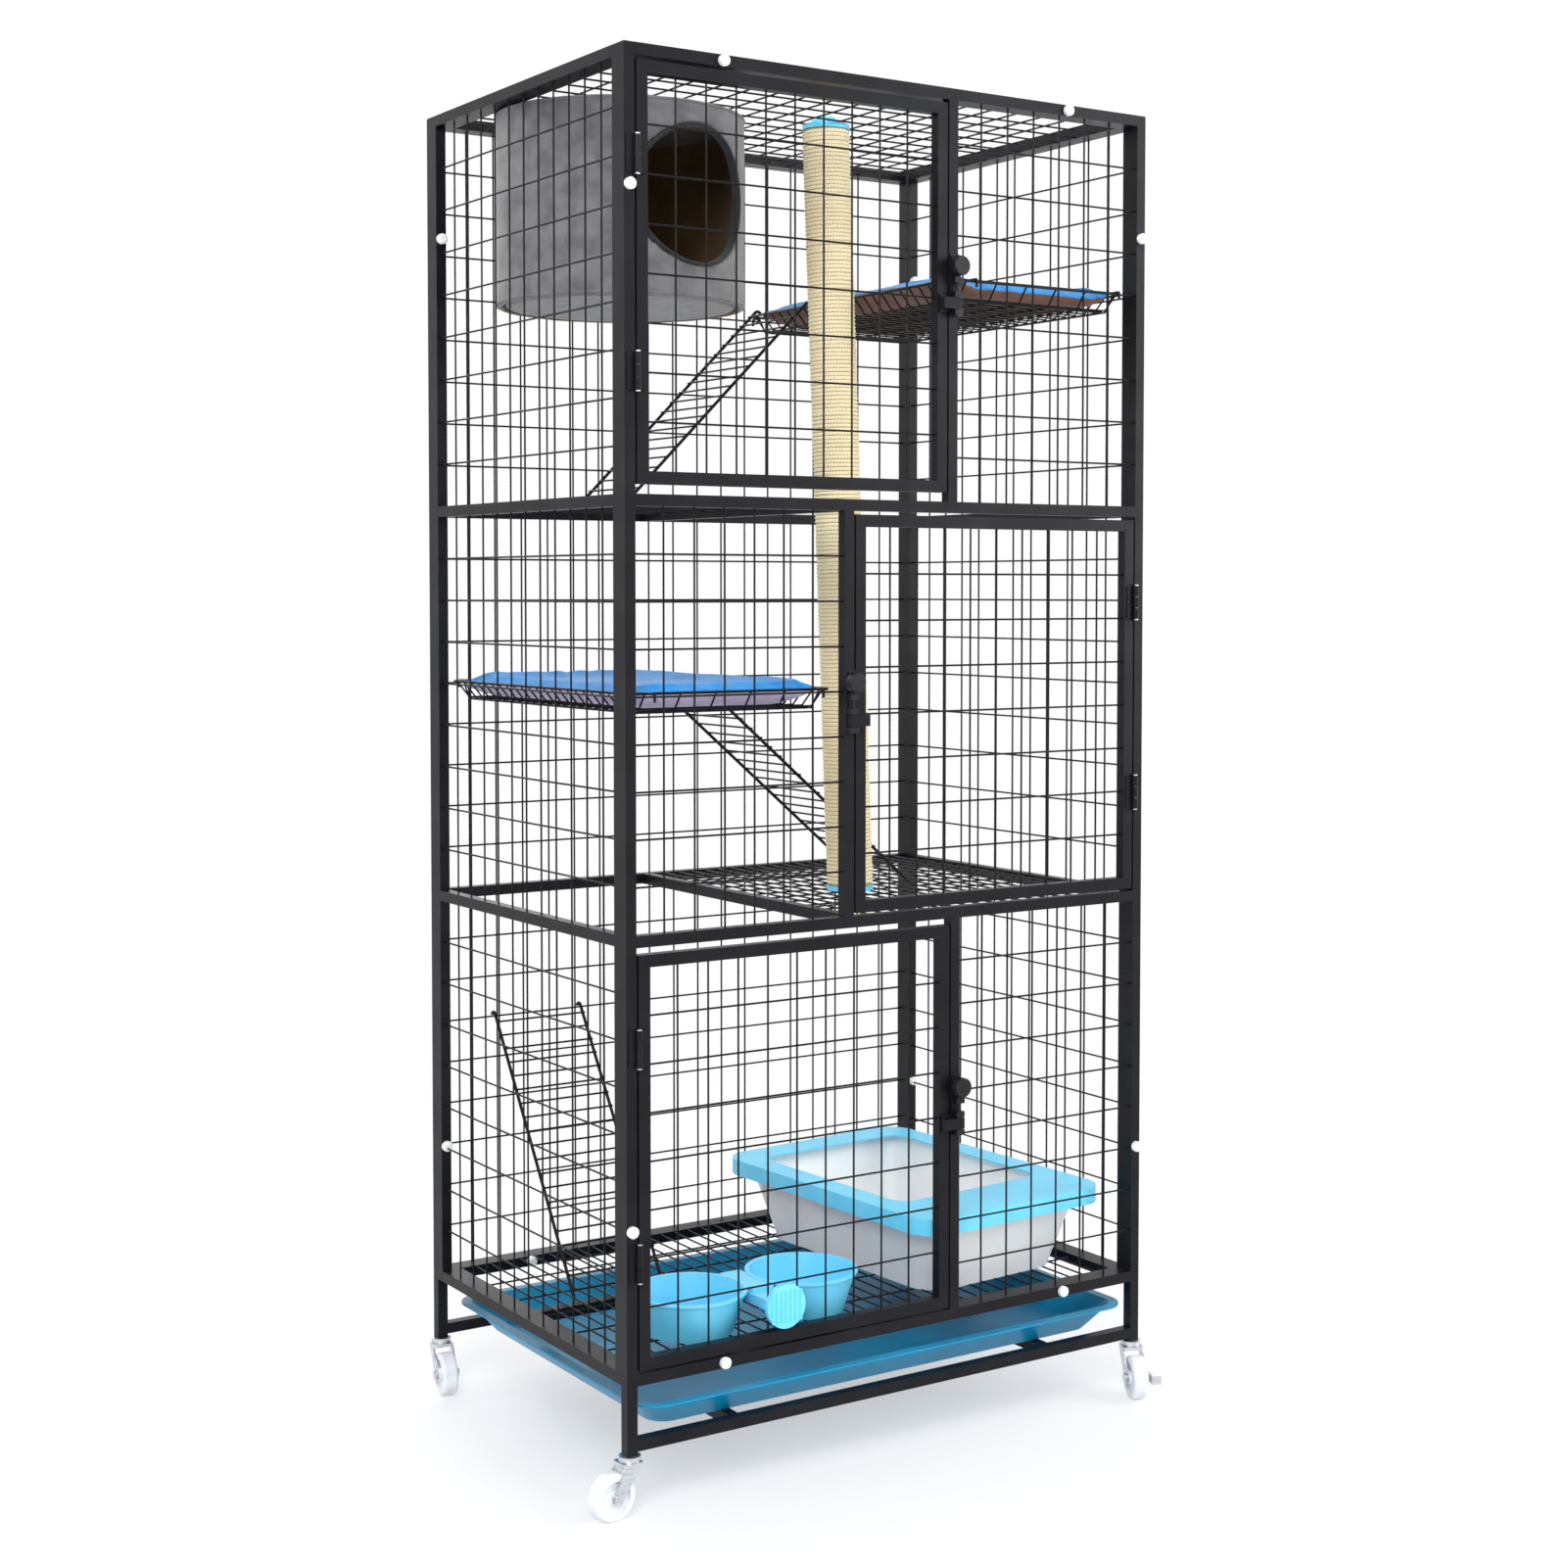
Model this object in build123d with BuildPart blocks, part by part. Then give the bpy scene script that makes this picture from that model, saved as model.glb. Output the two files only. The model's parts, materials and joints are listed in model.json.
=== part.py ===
from build123d import *
from math import asin, atan2, cos, hypot, radians, sin
import os

# Wheeled cat cage on three tiers, made of square steel tube and welded mesh. Millimetres.
# X runs to the right along the front, Y runs to the back and Z runs up from the ground.
# The origin is on the ground, under the middle of the whole object's box.

# Cage
cage_width = 900
cage_depth = 610
post_length = 1867
tube = 16
tube_wall = 1.2
weld_gap = 0.1
plug_length = 32
plug_clearance = 0.1
lower_rail_bottom = 5
base_rail_bottom = 93
lower_mid_bottom = 680
upper_mid_bottom = 1264
top_mullion_left = 530
middle_mullion_left = 350
bottom_mullion_left = 537
tray_runner_places = (175, 725)
floor_bearer_place = 328
half_floor_edge = 364

# Mesh
mesh_wire = 3.0
mesh_pitch_across = 46.5
mesh_pitch_up = 62.5
floor_pitch_across = 25
floor_pitch_along = 91
half_floor_pitch_along = 50

# Knob screws that hold the panels together
knob_radius = 8
knob_height = 8
knob_screw_radius = 3.0
knob_hole_clearance = 0.2
knob_screw_grip = 6
post_knob_heights = (302, 1683)
rail_knob_inset = 152

# Doors
door_bar = 17
door_side_gap = 3
top_door_gaps = (13, 5)
middle_door_gaps = (4, 5)
bottom_door_gaps = (3, 10)
hinge_insets = (147, 124)
hinge_length = 50
hinge_pin_radius = 2.5
hinge_barrel_radius = 4.5
hinge_leaf = 1.5
hinge_leaf_width = 13
hinge_front_gap = 0.3
running_clearance = 0.06
part_gap = 0.3

# Latches
latch_above_middle = 19
latch_length = 88
latch_plate = 3
latch_pin_radius = 3
latch_pin_reach = 9
latch_lug = 8
latch_lug_front = 14
latch_knob_radius = 14
latch_knob_depth = 11
keeper_clearance = 0.6
keeper_gap = 1.0

# Casters
caster_height = 81
wheel_radius = 32
wheel_width = 24
wheel_fillet = 5
wheel_hub_radius = 10
axle_radius = 4
fork_trail = 29
fork_plate = 2.5
fork_side_gap = 1.5
fork_boss = 9
swivel_radius = 15
swivel_cap = 7
swivel_plate = 5
stem_radius = 5
stem_length = 30
rivet_radius = 8
rivet_height = 3
caster_names = ("front_left", "front_right", "rear_left", "rear_right")
caster_turns = {"front_left": 185, "front_right": -115, "rear_left": -100, "rear_right": -150}
braked_casters = ("front_right", "rear_right")
brake_plate = 3
brake_width = 12
brake_length = 30
brake_tab = 12

# Slide-out tray
tray_side_gap = 6
tray_front_overhang = 5
tray_back_gap = 20
tray_height = 40
tray_wall = 2.5
tray_flare = 30
tray_lip = 12
tray_corner = 30

# Wire shelves, which hang on the mesh, and their cushions
shelf_width = 324
shelf_depth = 562
shelf_front_gap = 4
shelf_side_gap = 4
shelf_drop = 24
shelf_slope = 22
shelf_rim = 4
shelf_pitch_across = 60
shelf_pitch_along = 24
hook_wire = 4
hook_drop = 12
hook_inset = 27
shelf_mesh_row = 5
cushion_side_gap = 12
cushion_height = 44
cushion_side_draw = 9
cushion_seat_gap = 0.4

# Ladders
ladder_width = 150
ladder_length = 464
ladder_rail = 5
ladder_rung = 3
ladder_rungs = 20
ladder_hook_inner = 3.6
ladder_foot_gap = 0.5
upper_ladder_back = 552
middle_ladder_back = 459
lower_ladder_left = 115
lower_ladder_row = 6

# Scratching post
sisal_radius = 36
sisal_coat = 2.8
core_wall = 3
sisal_foot = (539, 259)
sisal_top = (489, 255)
clamp_disc_radius = 22
clamp_disc_height = 3.5
clamp_nut_radius = 15
clamp_nut_height = 5
clamp_screw_radius = 3
clamp_screw_sink = 14

# Hanging house
house_radius = 184
house_wall = 12
house_bottom = 1570
house_place = (205, 377)
house_hole_radius = 96
house_hole_turn = 8.6
house_hole_height = 1717
house_trim = 4.5
house_trim_proud = 3

# Litter pan
pan_place = (678, 292)
pan_turn = 4
pan_rim = (366, 516)
pan_foot = (266, 404)
pan_height = 124
pan_wall = 2.5
pan_corner = 45
pan_top = (328, 476)
rim_skirt = 22
rim_wall = 2.5
rim_opening = (282, 352)
rim_opening_shift = 28

# Double bowl, clamped to the bottom door's mesh
bowl_place = 252
bowl_back = 104
bowl_spacing = 188
bowl_radius = 82
bowl_foot_radius = 62
bowl_floor = 118
bowl_height = 57
bowl_wall = 3
bowl_bridge = (90, 34)
bowl_arm_width = 44
bowl_arm_height = 14
clamp_radius = 31
clamp_height = 8
clamp_ribs = 7
clamp_stud_radius = 4

# Places worked out from the sizes above
half_tube = tube / 2
top_rail_bottom = post_length - tube
base_rail_top = base_rail_bottom + tube
lower_mid_top = lower_mid_bottom + tube
upper_mid_top = upper_mid_bottom + tube
wheel_centre_z = wheel_radius
foot_z = caster_height


def caster_heading(name):
    """Unit vector from a caster's stem towards its wheel."""
    turn = radians(caster_turns[name])
    return cos(turn), sin(turn)


def wheel_reach(name, axis):
    """How far a caster's wheel reaches from its stem, low and high, along X or Y."""
    along = caster_heading(name)[axis]
    across = caster_heading(name)[1 - axis]
    half = wheel_radius * abs(along) + wheel_width / 2 * abs(across)
    return fork_trail * along - half, fork_trail * along + half


left_reach = -(half_tube + wheel_reach("front_left", 0)[0])
front_reach = -(half_tube + wheel_reach("front_right", 1)[0])
cage_left = -(cage_width - left_reach) / 2
cage_front = -(cage_depth - front_reach) / 2


def at_x(distance):
    """X of a distance to the right of the cage's left side."""
    return cage_left + distance


def at_y(distance):
    """Y of a distance behind the cage's front."""
    return cage_front + distance


def at_z(height):
    """Z of a height above the foot of the posts."""
    return foot_z + height


inner_left = at_x(tube)
inner_right = at_x(cage_width - tube)
inner_front = at_y(tube)
inner_back = at_y(cage_depth - tube)
tiers = (
    (base_rail_top, lower_mid_bottom),
    (lower_mid_top, upper_mid_bottom),
    (upper_mid_top, top_rail_bottom),
)
rail_bottoms = (lower_rail_bottom, base_rail_bottom, lower_mid_bottom, upper_mid_bottom, top_rail_bottom)
panel_rail_bottoms = rail_bottoms[1:]


def plane_x(x):
    """Upright plane across X, with Y and Z as its own directions, facing +X."""
    return Plane.YZ.offset(x)


def plane_y(y):
    """Upright plane across Y, with X and Z as its own directions, facing -Y."""
    return Plane.XZ.offset(-y)


def plane_z(z):
    """Level plane, facing up."""
    return Plane.XY.offset(z)


def hollow_tubes(plane, centres, length):
    """Square tubes on a plane, one at each centre, a weld's gap short at both ends."""
    with BuildSketch(plane.offset(weld_gap), mode=Mode.PRIVATE) as section:
        with Locations(*centres):
            Rectangle(tube, tube)
            Rectangle(tube - 2 * tube_wall, tube - 2 * tube_wall, mode=Mode.SUBTRACT)
    extrude(section.sketch, amount=length - 2 * weld_gap)


def tubes_along_x(start, end, centres):
    """Square tubes from one X to another, with centres given as Y and Z."""
    hollow_tubes(plane_x(start), centres, end - start)


def tubes_along_y(start, end, centres):
    """Square tubes from one Y to another, with centres given as X and Z."""
    hollow_tubes(plane_y(end), centres, end - start)


def tubes_along_z(start, end, centres):
    """Square tubes from one Z to another, with centres given as X and Y."""
    hollow_tubes(plane_z(start), centres, end - start)


def cell_count(length, pitch):
    """Whole number of mesh cells that fills a length."""
    return max(1, round(length / pitch))


def mesh_sheet(plane, low, high, pitches, thickness):
    """Flat net between two corners of a plane, thick along its normal."""
    size = (high[0] - low[0], high[1] - low[1])
    counts = [cell_count(size[i], pitches[i]) for i in (0, 1)]
    cells = [size[i] / counts[i] for i in (0, 1)]
    middle = ((low[0] + high[0]) / 2, (low[1] + high[1]) / 2)
    with BuildSketch(plane, mode=Mode.PRIVATE) as net:
        with Locations(middle):
            Rectangle(*size)
            with GridLocations(cells[0], cells[1], counts[0], counts[1]):
                Rectangle(cells[0] - mesh_wire, cells[1] - mesh_wire, mode=Mode.SUBTRACT)
    extrude(net.sketch, amount=thickness)


def block(low, high, mode=Mode.ADD):
    """Block between two corners."""
    with BuildSketch(plane_z(low[2]), mode=Mode.PRIVATE) as outline:
        with Locations(((low[0] + high[0]) / 2, (low[1] + high[1]) / 2)):
            Rectangle(high[0] - low[0], high[1] - low[1])
    extrude(outline.sketch, amount=high[2] - low[2], mode=mode)


def row_height(tier, row):
    """Height of a horizontal mesh wire above the foot of the posts, counted from the tier's floor."""
    bottom, top = tiers[tier]
    return bottom + row * (top - bottom) / cell_count(top - bottom, mesh_pitch_up)


def save(piece, name):
    """Label a finished piece and write it."""
    piece.part.label = name
    export_step(piece.part, "parts/" + name + ".step")


os.makedirs("parts", exist_ok=True)

# Knob screws: each clamps two tubes that lie one behind the other
front_y = at_y(0)
rear_face_y = at_y(cage_depth - 2 * tube)
knob_xs = (at_x(rail_knob_inset), at_x(cage_width - rail_knob_inset))
knob_post_xs = (at_x(half_tube), at_x(cage_width - half_tube))
knob_zs = [at_z(height) for height in post_knob_heights]
top_rail_z = at_z(top_rail_bottom + half_tube)
base_rail_z = at_z(base_rail_bottom + half_tube)
knob_points = [(x, z) for x in knob_post_xs for z in knob_zs]
knob_points += [(x, z) for x in knob_xs for z in (base_rail_z, top_rail_z)]


def knob_holes():
    """Holes for the knob screws through the first tube and the near wall of the second."""
    for y in (front_y, rear_face_y):
        with BuildSketch(plane_y(y), mode=Mode.PRIVATE) as holes:
            with Locations(*knob_points):
                Circle(knob_screw_radius + knob_hole_clearance)
        extrude(holes.sketch, amount=-(tube + knob_screw_grip + 1), mode=Mode.SUBTRACT)


def knob_recess(y):
    """Room in a net for the knob heads that stand forward of a face."""
    with BuildSketch(plane_y(y + part_gap), mode=Mode.PRIVATE) as rooms:
        with Locations(*knob_points):
            Rectangle(2 * knob_radius + 2, 2 * knob_radius + 2)
    extrude(rooms.sketch, amount=knob_height + 1 + part_gap, mode=Mode.SUBTRACT)


# Corner posts
post_xs = (at_x(half_tube), at_x(cage_width - half_tube))
front_post_y = at_y(half_tube)
rear_post_y = at_y(cage_depth - half_tube)
post_places = [(x, y) for x in post_xs for y in (front_post_y, rear_post_y)]
with BuildPart() as corner_posts:
    tubes_along_z(at_z(0), at_z(post_length - tube_wall), post_places)
    knob_holes()
save(corner_posts, "corner_posts")

# Plastic ends of the posts: a cap on top and a socket for the caster's stem below
with BuildPart() as post_ends:
    with BuildSketch(plane_z(at_z(post_length - tube_wall))):
        with Locations(*post_places):
            RectangleRounded(tube, tube, 1.5)
    extrude(amount=tube_wall)
    plug_side = tube - 2 * tube_wall - 2 * plug_clearance
    with BuildSketch(plane_z(at_z(0))):
        with Locations(*post_places):
            Rectangle(plug_side, plug_side)
            Circle(stem_radius + running_clearance, mode=Mode.SUBTRACT)
    extrude(amount=plug_length)
save(post_ends, "post_ends")

# Front frame: rails between the posts and one mullion beside each door
with BuildPart() as front_frame:
    rails = [(front_post_y, at_z(bottom + half_tube)) for bottom in rail_bottoms]
    tubes_along_x(inner_left, inner_right, rails)
    for left, (bottom, top) in zip((bottom_mullion_left, middle_mullion_left, top_mullion_left), tiers):
        tubes_along_z(at_z(bottom), at_z(top), [(at_x(left + half_tube), front_post_y)])
    knob_holes()
save(front_frame, "front_frame")

with BuildPart() as rear_rails:
    rails = [(rear_post_y, at_z(bottom + half_tube)) for bottom in rail_bottoms]
    tubes_along_x(inner_left, inner_right, rails)
    knob_holes()
save(rear_rails, "rear_rails")

# Side panels stand between the front and the rear posts
stile_ys = (at_y(tube + half_tube), at_y(cage_depth - tube - half_tube))
panel_front = at_y(2 * tube)
panel_back = at_y(cage_depth - 2 * tube)
for name, x in (("left_panel_frame", post_xs[0]), ("right_panel_frame", post_xs[1])):
    with BuildPart() as panel:
        tubes_along_z(at_z(base_rail_bottom), at_z(post_length), [(x, y) for y in stile_ys])
        tubes_along_y(panel_front, panel_back, [(x, at_z(bottom + half_tube)) for bottom in panel_rail_bottoms])
        knob_holes()
    save(panel, name)

# Roof and floor panels lie inside the rails
flat_left = inner_left
flat_right = inner_right
for name, z in (("roof_frame", top_rail_z), ("floor_frame", base_rail_z)):
    with BuildPart() as flat_frame:
        tubes_along_x(flat_left, flat_right, [(y, z) for y in stile_ys])
        tubes_along_y(panel_front, panel_back, [(x, z) for x in (flat_left + half_tube, flat_right - half_tube)])
        if name == "floor_frame":
            bearer_z = z - mesh_wire - 2
            bearer_y = at_y(floor_bearer_place + half_tube)
            tubes_along_x(flat_left + tube, flat_right - tube, [(bearer_y, bearer_z)])
        knob_holes()
    save(flat_frame, name)

# Cross tubes: two between the lower rails carry the tray, and one edges each half floor
runner_z = at_z(lower_rail_bottom + half_tube)
beam_x = at_x(half_floor_edge + half_tube)
cross_places = [(at_x(place), runner_z) for place in tray_runner_places]
cross_places += [(beam_x, at_z(bottom + half_tube)) for bottom in (lower_mid_bottom, upper_mid_bottom)]
with BuildPart() as cross_tubes:
    tubes_along_y(inner_front, inner_back, cross_places)
save(cross_tubes, "cross_tubes")

# Nets, each a flat sheet of mesh welded inside its frame
net_front_y = front_post_y + mesh_wire / 2
net_back_y = rear_post_y + mesh_wire / 2
upright_pitches = (mesh_pitch_across, mesh_pitch_up)
front_net_spans = (
    (at_x(bottom_mullion_left + tube), inner_right),
    (inner_left, at_x(middle_mullion_left)),
    (at_x(top_mullion_left + tube), inner_right),
)
with BuildPart() as front_nets:
    for (left, right), (bottom, top) in zip(front_net_spans, tiers):
        corners = ((left, at_z(bottom)), (right, at_z(top)))
        mesh_sheet(plane_y(net_front_y), *corners, upright_pitches, mesh_wire)
save(front_nets, "front_nets")

with BuildPart() as back_nets:
    for bottom, top in tiers:
        corners = ((inner_left, at_z(bottom)), (inner_right, at_z(top)))
        mesh_sheet(plane_y(net_back_y), *corners, upright_pitches, mesh_wire)
save(back_nets, "back_nets")

with BuildPart() as side_nets:
    for x in post_xs:
        for bottom, top in tiers:
            corners = ((panel_front, at_z(bottom)), (panel_back, at_z(top)))
            mesh_sheet(plane_x(x - mesh_wire / 2), *corners, upright_pitches, mesh_wire)
    knob_recess(rear_face_y)
save(side_nets, "side_nets")

# The roof net lies flush with the underside of its frame and the floor net lies on the floor's bearer
roof_net_z = at_z(top_rail_bottom)
floor_net_z = base_rail_z - 2 - mesh_wire + half_tube
flat_low = (flat_left + tube, panel_front)
flat_high = (flat_right - tube, panel_back)
roof_pitches = (mesh_pitch_across, mesh_pitch_across)
with BuildPart() as roof_net:
    mesh_sheet(plane_z(roof_net_z), flat_low, flat_high, roof_pitches, mesh_wire)
    knob_recess(rear_face_y)
save(roof_net, "roof_net")

half_floor_pitches = (floor_pitch_across, half_floor_pitch_along)
half_net_rise = tube - mesh_wire - 2
right_net_z = at_z(lower_mid_bottom) + half_net_rise
left_net_z = at_z(upper_mid_bottom) + half_net_rise
right_net_left = at_x(half_floor_edge + tube)
left_net_right = at_x(half_floor_edge)
with BuildPart() as floor_nets:
    mesh_sheet(plane_z(floor_net_z), flat_low, flat_high, (floor_pitch_across, floor_pitch_along), mesh_wire)
    right_corners = ((right_net_left, inner_front), (inner_right, inner_back))
    mesh_sheet(plane_z(right_net_z), *right_corners, half_floor_pitches, mesh_wire)
    left_corners = ((inner_left, inner_front), (left_net_right, inner_back))
    mesh_sheet(plane_z(left_net_z), *left_corners, half_floor_pitches, mesh_wire)
    knob_recess(rear_face_y)
save(floor_nets, "floor_nets")
floor_top = floor_net_z + mesh_wire
right_floor_top = right_net_z + mesh_wire
left_floor_top = left_net_z + mesh_wire

# Knob heads on their screws
with BuildPart() as frame_knobs:
    for y in (front_y, rear_face_y):
        with BuildSketch(plane_y(y)):
            with Locations(*knob_points):
                Circle(knob_radius)
        extrude(amount=knob_height)
        with BuildSketch(plane_y(y)):
            with Locations(*knob_points):
                Circle(knob_screw_radius)
        extrude(amount=-(tube + knob_screw_grip))
    crowns = frame_knobs.edges().filter_by(GeomType.CIRCLE).filter_by(
        lambda edge: abs(edge.radius - knob_radius) < 0.01
    )
    fronts = [edge for edge in crowns if abs(edge.center().Y - front_y + knob_height) < 0.1]
    backs = [edge for edge in crowns if abs(edge.center().Y - rear_face_y + knob_height) < 0.1]
    chamfer(fronts + backs, length=2.5)
save(frame_knobs, "frame_knobs")

# Doors: the side that the hinge is on, the opening, and the gaps below and above
door_layout = {
    "bottom": ("left", tube, bottom_mullion_left, tiers[0], bottom_door_gaps),
    "middle": ("right", middle_mullion_left + tube, cage_width - tube, tiers[1], middle_door_gaps),
    "top": ("left", tube, top_mullion_left, tiers[2], top_door_gaps),
}


def door_box(door):
    """Left, right, bottom and top of a door's outside."""
    _, left, right, (bottom, top), (low_gap, high_gap) = door_layout[door]
    return (
        at_x(left + door_side_gap),
        at_x(right - door_side_gap),
        at_z(bottom + low_gap),
        at_z(top - high_gap),
    )


def door_side(door):
    """1 where the door's hinges are on its left, and -1 where they are on its right."""
    return 1 if door_layout[door][0] == "left" else -1


def hinge_heights(door):
    """Middle heights of a door's two hinges."""
    _, _, bottom, top = door_box(door)
    return bottom + hinge_insets[0], top - hinge_insets[1]


def hinge_axis(door):
    """X and Y of a door's hinge pins."""
    _, left, right = door_layout[door][:3]
    x = at_x(left + door_side_gap / 2) if door_side(door) == 1 else at_x(right - door_side_gap / 2)
    return x, front_y - hinge_barrel_radius - hinge_front_gap


def corner_points(left, right, bottom, top, inset):
    """The four corners of an upright rectangle, drawn in by an inset."""
    left, right = left + inset, right - inset
    bottom, top = bottom + inset, top - inset
    return (left, bottom), (right, bottom), (right, top), (left, top)


def toward(start, end, distance):
    """Point at a distance from one point towards another."""
    length = hypot(end[0] - start[0], end[1] - start[1])
    return tuple(start[i] + (end[i] - start[i]) * distance / length for i in (0, 1))


def mitred_bars(box, inset_out, inset_in, front, depth, mode=Mode.ADD):
    """Four bars round a door between two insets, a weld's gap apart at the mitres."""
    outer = corner_points(*box, inset_out)
    inner = corner_points(*box, inset_in)
    for i in range(4):
        j = (i + 1) % 4
        corners = [
            toward(outer[i], outer[j], weld_gap),
            toward(outer[j], outer[i], weld_gap),
            toward(inner[j], inner[i], weld_gap),
            toward(inner[i], inner[j], weld_gap),
        ]
        with BuildSketch(plane_y(front), mode=Mode.PRIVATE) as face:
            with BuildLine():
                Polyline(*corners, close=True)
            make_face()
        extrude(face.sketch, amount=-depth, mode=mode)


for door in door_layout:
    left, right, bottom, top = door_box(door)
    with BuildPart() as door_frame:
        mitred_bars(door_box(door), 0, door_bar, front_y, tube)
        hollow = (tube_wall, door_bar - tube_wall, front_y + tube_wall, tube - 2 * tube_wall)
        mitred_bars(door_box(door), *hollow, mode=Mode.SUBTRACT)
    save(door_frame, door + "_door_frame")
    with BuildPart() as door_net:
        low = (left + door_bar, bottom + door_bar)
        high = (right - door_bar, top - door_bar)
        mesh_sheet(plane_y(net_front_y), low, high, upright_pitches, mesh_wire)
    save(door_net, door + "_door_net")

# Latches: where each one's bolt stands, and how high its plate starts
bolt_y = front_y - latch_pin_reach
latch_front_y = front_y - latch_lug_front
lug_heights = (0, 26, 46)
lug_half_width = 7
bolt_heights = (2, 86)
collar_radius = 5
collar_length = 5
knob_above_plate_foot = 70
keeper_plate_width = 15
keeper_plate_margin = 5


def latch_place(door):
    """X of a door's bolt and Z of its latch plate's foot."""
    _, left, right = door_layout[door][:3]
    x = at_x(right + half_tube) if door_side(door) == 1 else at_x(left - half_tube)
    _, _, bottom, top = door_box(door)
    return x, (bottom + top) / 2 + latch_above_middle - latch_length / 2


def upright_cylinder(place, radius, low, high, mode=Mode.ADD):
    """Round bar along Z at an X and a Y, between two heights."""
    with BuildSketch(plane_z(low), mode=Mode.PRIVATE) as outline:
        with Locations(place):
            Circle(radius)
    extrude(outline.sketch, amount=high - low, mode=mode)


with BuildPart() as latch_plates:
    for door in door_layout:
        x, foot = latch_place(door)
        block((x - half_tube, front_y - latch_plate, foot), (x + half_tube, front_y, foot + latch_length))
        for height in lug_heights:
            low = foot + height
            block((x - lug_half_width, latch_front_y, low), (x + lug_half_width, front_y - 1, low + latch_lug))
        bore = latch_pin_radius + running_clearance
        upright_cylinder((x, bolt_y), bore, foot, foot + latch_length, mode=Mode.SUBTRACT)
save(latch_plates, "latch_plates")

for door in door_layout:
    x, foot = latch_place(door)
    with BuildPart() as latch_bolt:
        upright_cylinder((x, bolt_y), latch_pin_radius, foot + bolt_heights[0], foot + bolt_heights[1])
        collar_foot = foot + lug_heights[2] + latch_lug + part_gap
        upright_cylinder((x, bolt_y), collar_radius, collar_foot, collar_foot + collar_length)
        with BuildSketch(plane_y(bolt_y - latch_pin_radius + 1)):
            with Locations((x, foot + knob_above_plate_foot)):
                Circle(latch_knob_radius)
        extrude(amount=latch_knob_depth)
        rim = latch_bolt.faces().sort_by(Axis.Y)[0].edges()
        fillet(rim, radius=2)
    save(latch_bolt, door + "_latch_bolt")

# Hinges: two on each door, each with two fixed knuckles and one that turns
knuckle = hinge_length / 3
pin_head_radius = 3.6
pin_head_height = 1.5


def hinge_leaf_block(door, z, side):
    """Leaf of a hinge on the post's side (-1) or the door's side (1) of its pin."""
    x = hinge_axis(door)[0]
    away = door_side(door) * side
    near = x + away * door_side_gap / 2
    far = near + away * hinge_leaf_width
    low = (min(near, far), front_y - hinge_leaf, z - hinge_length / 2)
    high = (max(near, far), front_y, z + hinge_length / 2)
    block(low, high)


with BuildPart() as hinge_leaves:
    for door in door_layout:
        axis_place = hinge_axis(door)
        for z in hinge_heights(door):
            hinge_leaf_block(door, z, -1)
            for end in (-1, 1):
                low = z + end * (knuckle + part_gap) - knuckle / 2
                upright_cylinder(axis_place, hinge_barrel_radius, low + part_gap * (1 - end) / 2,
                                 low + knuckle - part_gap * (1 + end) / 2)
            room = hinge_barrel_radius + part_gap
            upright_cylinder(axis_place, room, z - knuckle / 2, z + knuckle / 2, mode=Mode.SUBTRACT)
            bore = hinge_pin_radius + running_clearance
            upright_cylinder(axis_place, bore, z - hinge_length, z + hinge_length, mode=Mode.SUBTRACT)
save(hinge_leaves, "hinge_leaves")

with BuildPart() as hinge_pins:
    for door in door_layout:
        for z in hinge_heights(door):
            end = hinge_length / 2 + part_gap
            upright_cylinder(hinge_axis(door), hinge_pin_radius, z - end, z + end)
            for low in (z - end - pin_head_height, z + end):
                upright_cylinder(hinge_axis(door), pin_head_radius, low, low + pin_head_height)
save(hinge_pins, "hinge_pins")

for door in door_layout:
    side = door_side(door)
    axis_place = hinge_axis(door)
    left, right = door_box(door)[:2]
    stile_edge = right if side == 1 else left
    bolt_x, foot = latch_place(door)
    arm_low = foot + lug_heights[0] + latch_lug + keeper_gap
    arm_high = foot + lug_heights[1] - keeper_gap
    with BuildPart() as door_fittings:
        for z in hinge_heights(door):
            hinge_leaf_block(door, z, 1)
            for end in (-1, 1):
                middle = z + end * (knuckle + part_gap)
                reach = knuckle / 2 + 2 * part_gap
                room = hinge_barrel_radius + part_gap
                upright_cylinder(axis_place, room, middle - reach, middle + reach, mode=Mode.SUBTRACT)
            turning = knuckle / 2 - part_gap
            upright_cylinder(axis_place, hinge_barrel_radius, z - turning, z + turning)
            bore = hinge_pin_radius + running_clearance
            upright_cylinder(axis_place, bore, z - hinge_length, z + hinge_length, mode=Mode.SUBTRACT)
        plate_end = stile_edge - side * keeper_plate_width
        plate_xs = sorted((stile_edge, plate_end))
        plate_low = arm_low - keeper_plate_margin
        plate_high = arm_high + keeper_plate_margin
        block((plate_xs[0], front_y - latch_plate, plate_low), (plate_xs[1], front_y, plate_high))
        block((plate_xs[0], latch_front_y, arm_low), (plate_xs[1], front_y - 1, arm_high))
        arm_xs = sorted((plate_end, bolt_x + side * lug_half_width))
        arm_back = front_y - latch_plate - keeper_clearance
        block((arm_xs[0], latch_front_y, arm_low), (arm_xs[1], arm_back, arm_high))
        hole = latch_pin_radius + keeper_clearance
        upright_cylinder((bolt_x, bolt_y), hole, arm_low - 1, arm_high + 1, mode=Mode.SUBTRACT)
    save(door_fittings, door + "_door_fittings")


def between_wires(low, high, pitch, wanted, room):
    """Place nearest to the wanted one that lies at least some room from every wire of a net."""
    count = cell_count(high - low, pitch)
    cell = (high - low) / count
    index = min(max(int((wanted - low) // cell), 0), count - 1)
    first = low + index * cell
    return min(max(wanted, first + room), first + cell - room)


def cell_middle(low, high, pitch, wanted):
    """Middle of the net's cell that holds a place."""
    return between_wires(low, high, pitch, wanted, (high - low) / cell_count(high - low, pitch) / 2)


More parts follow.
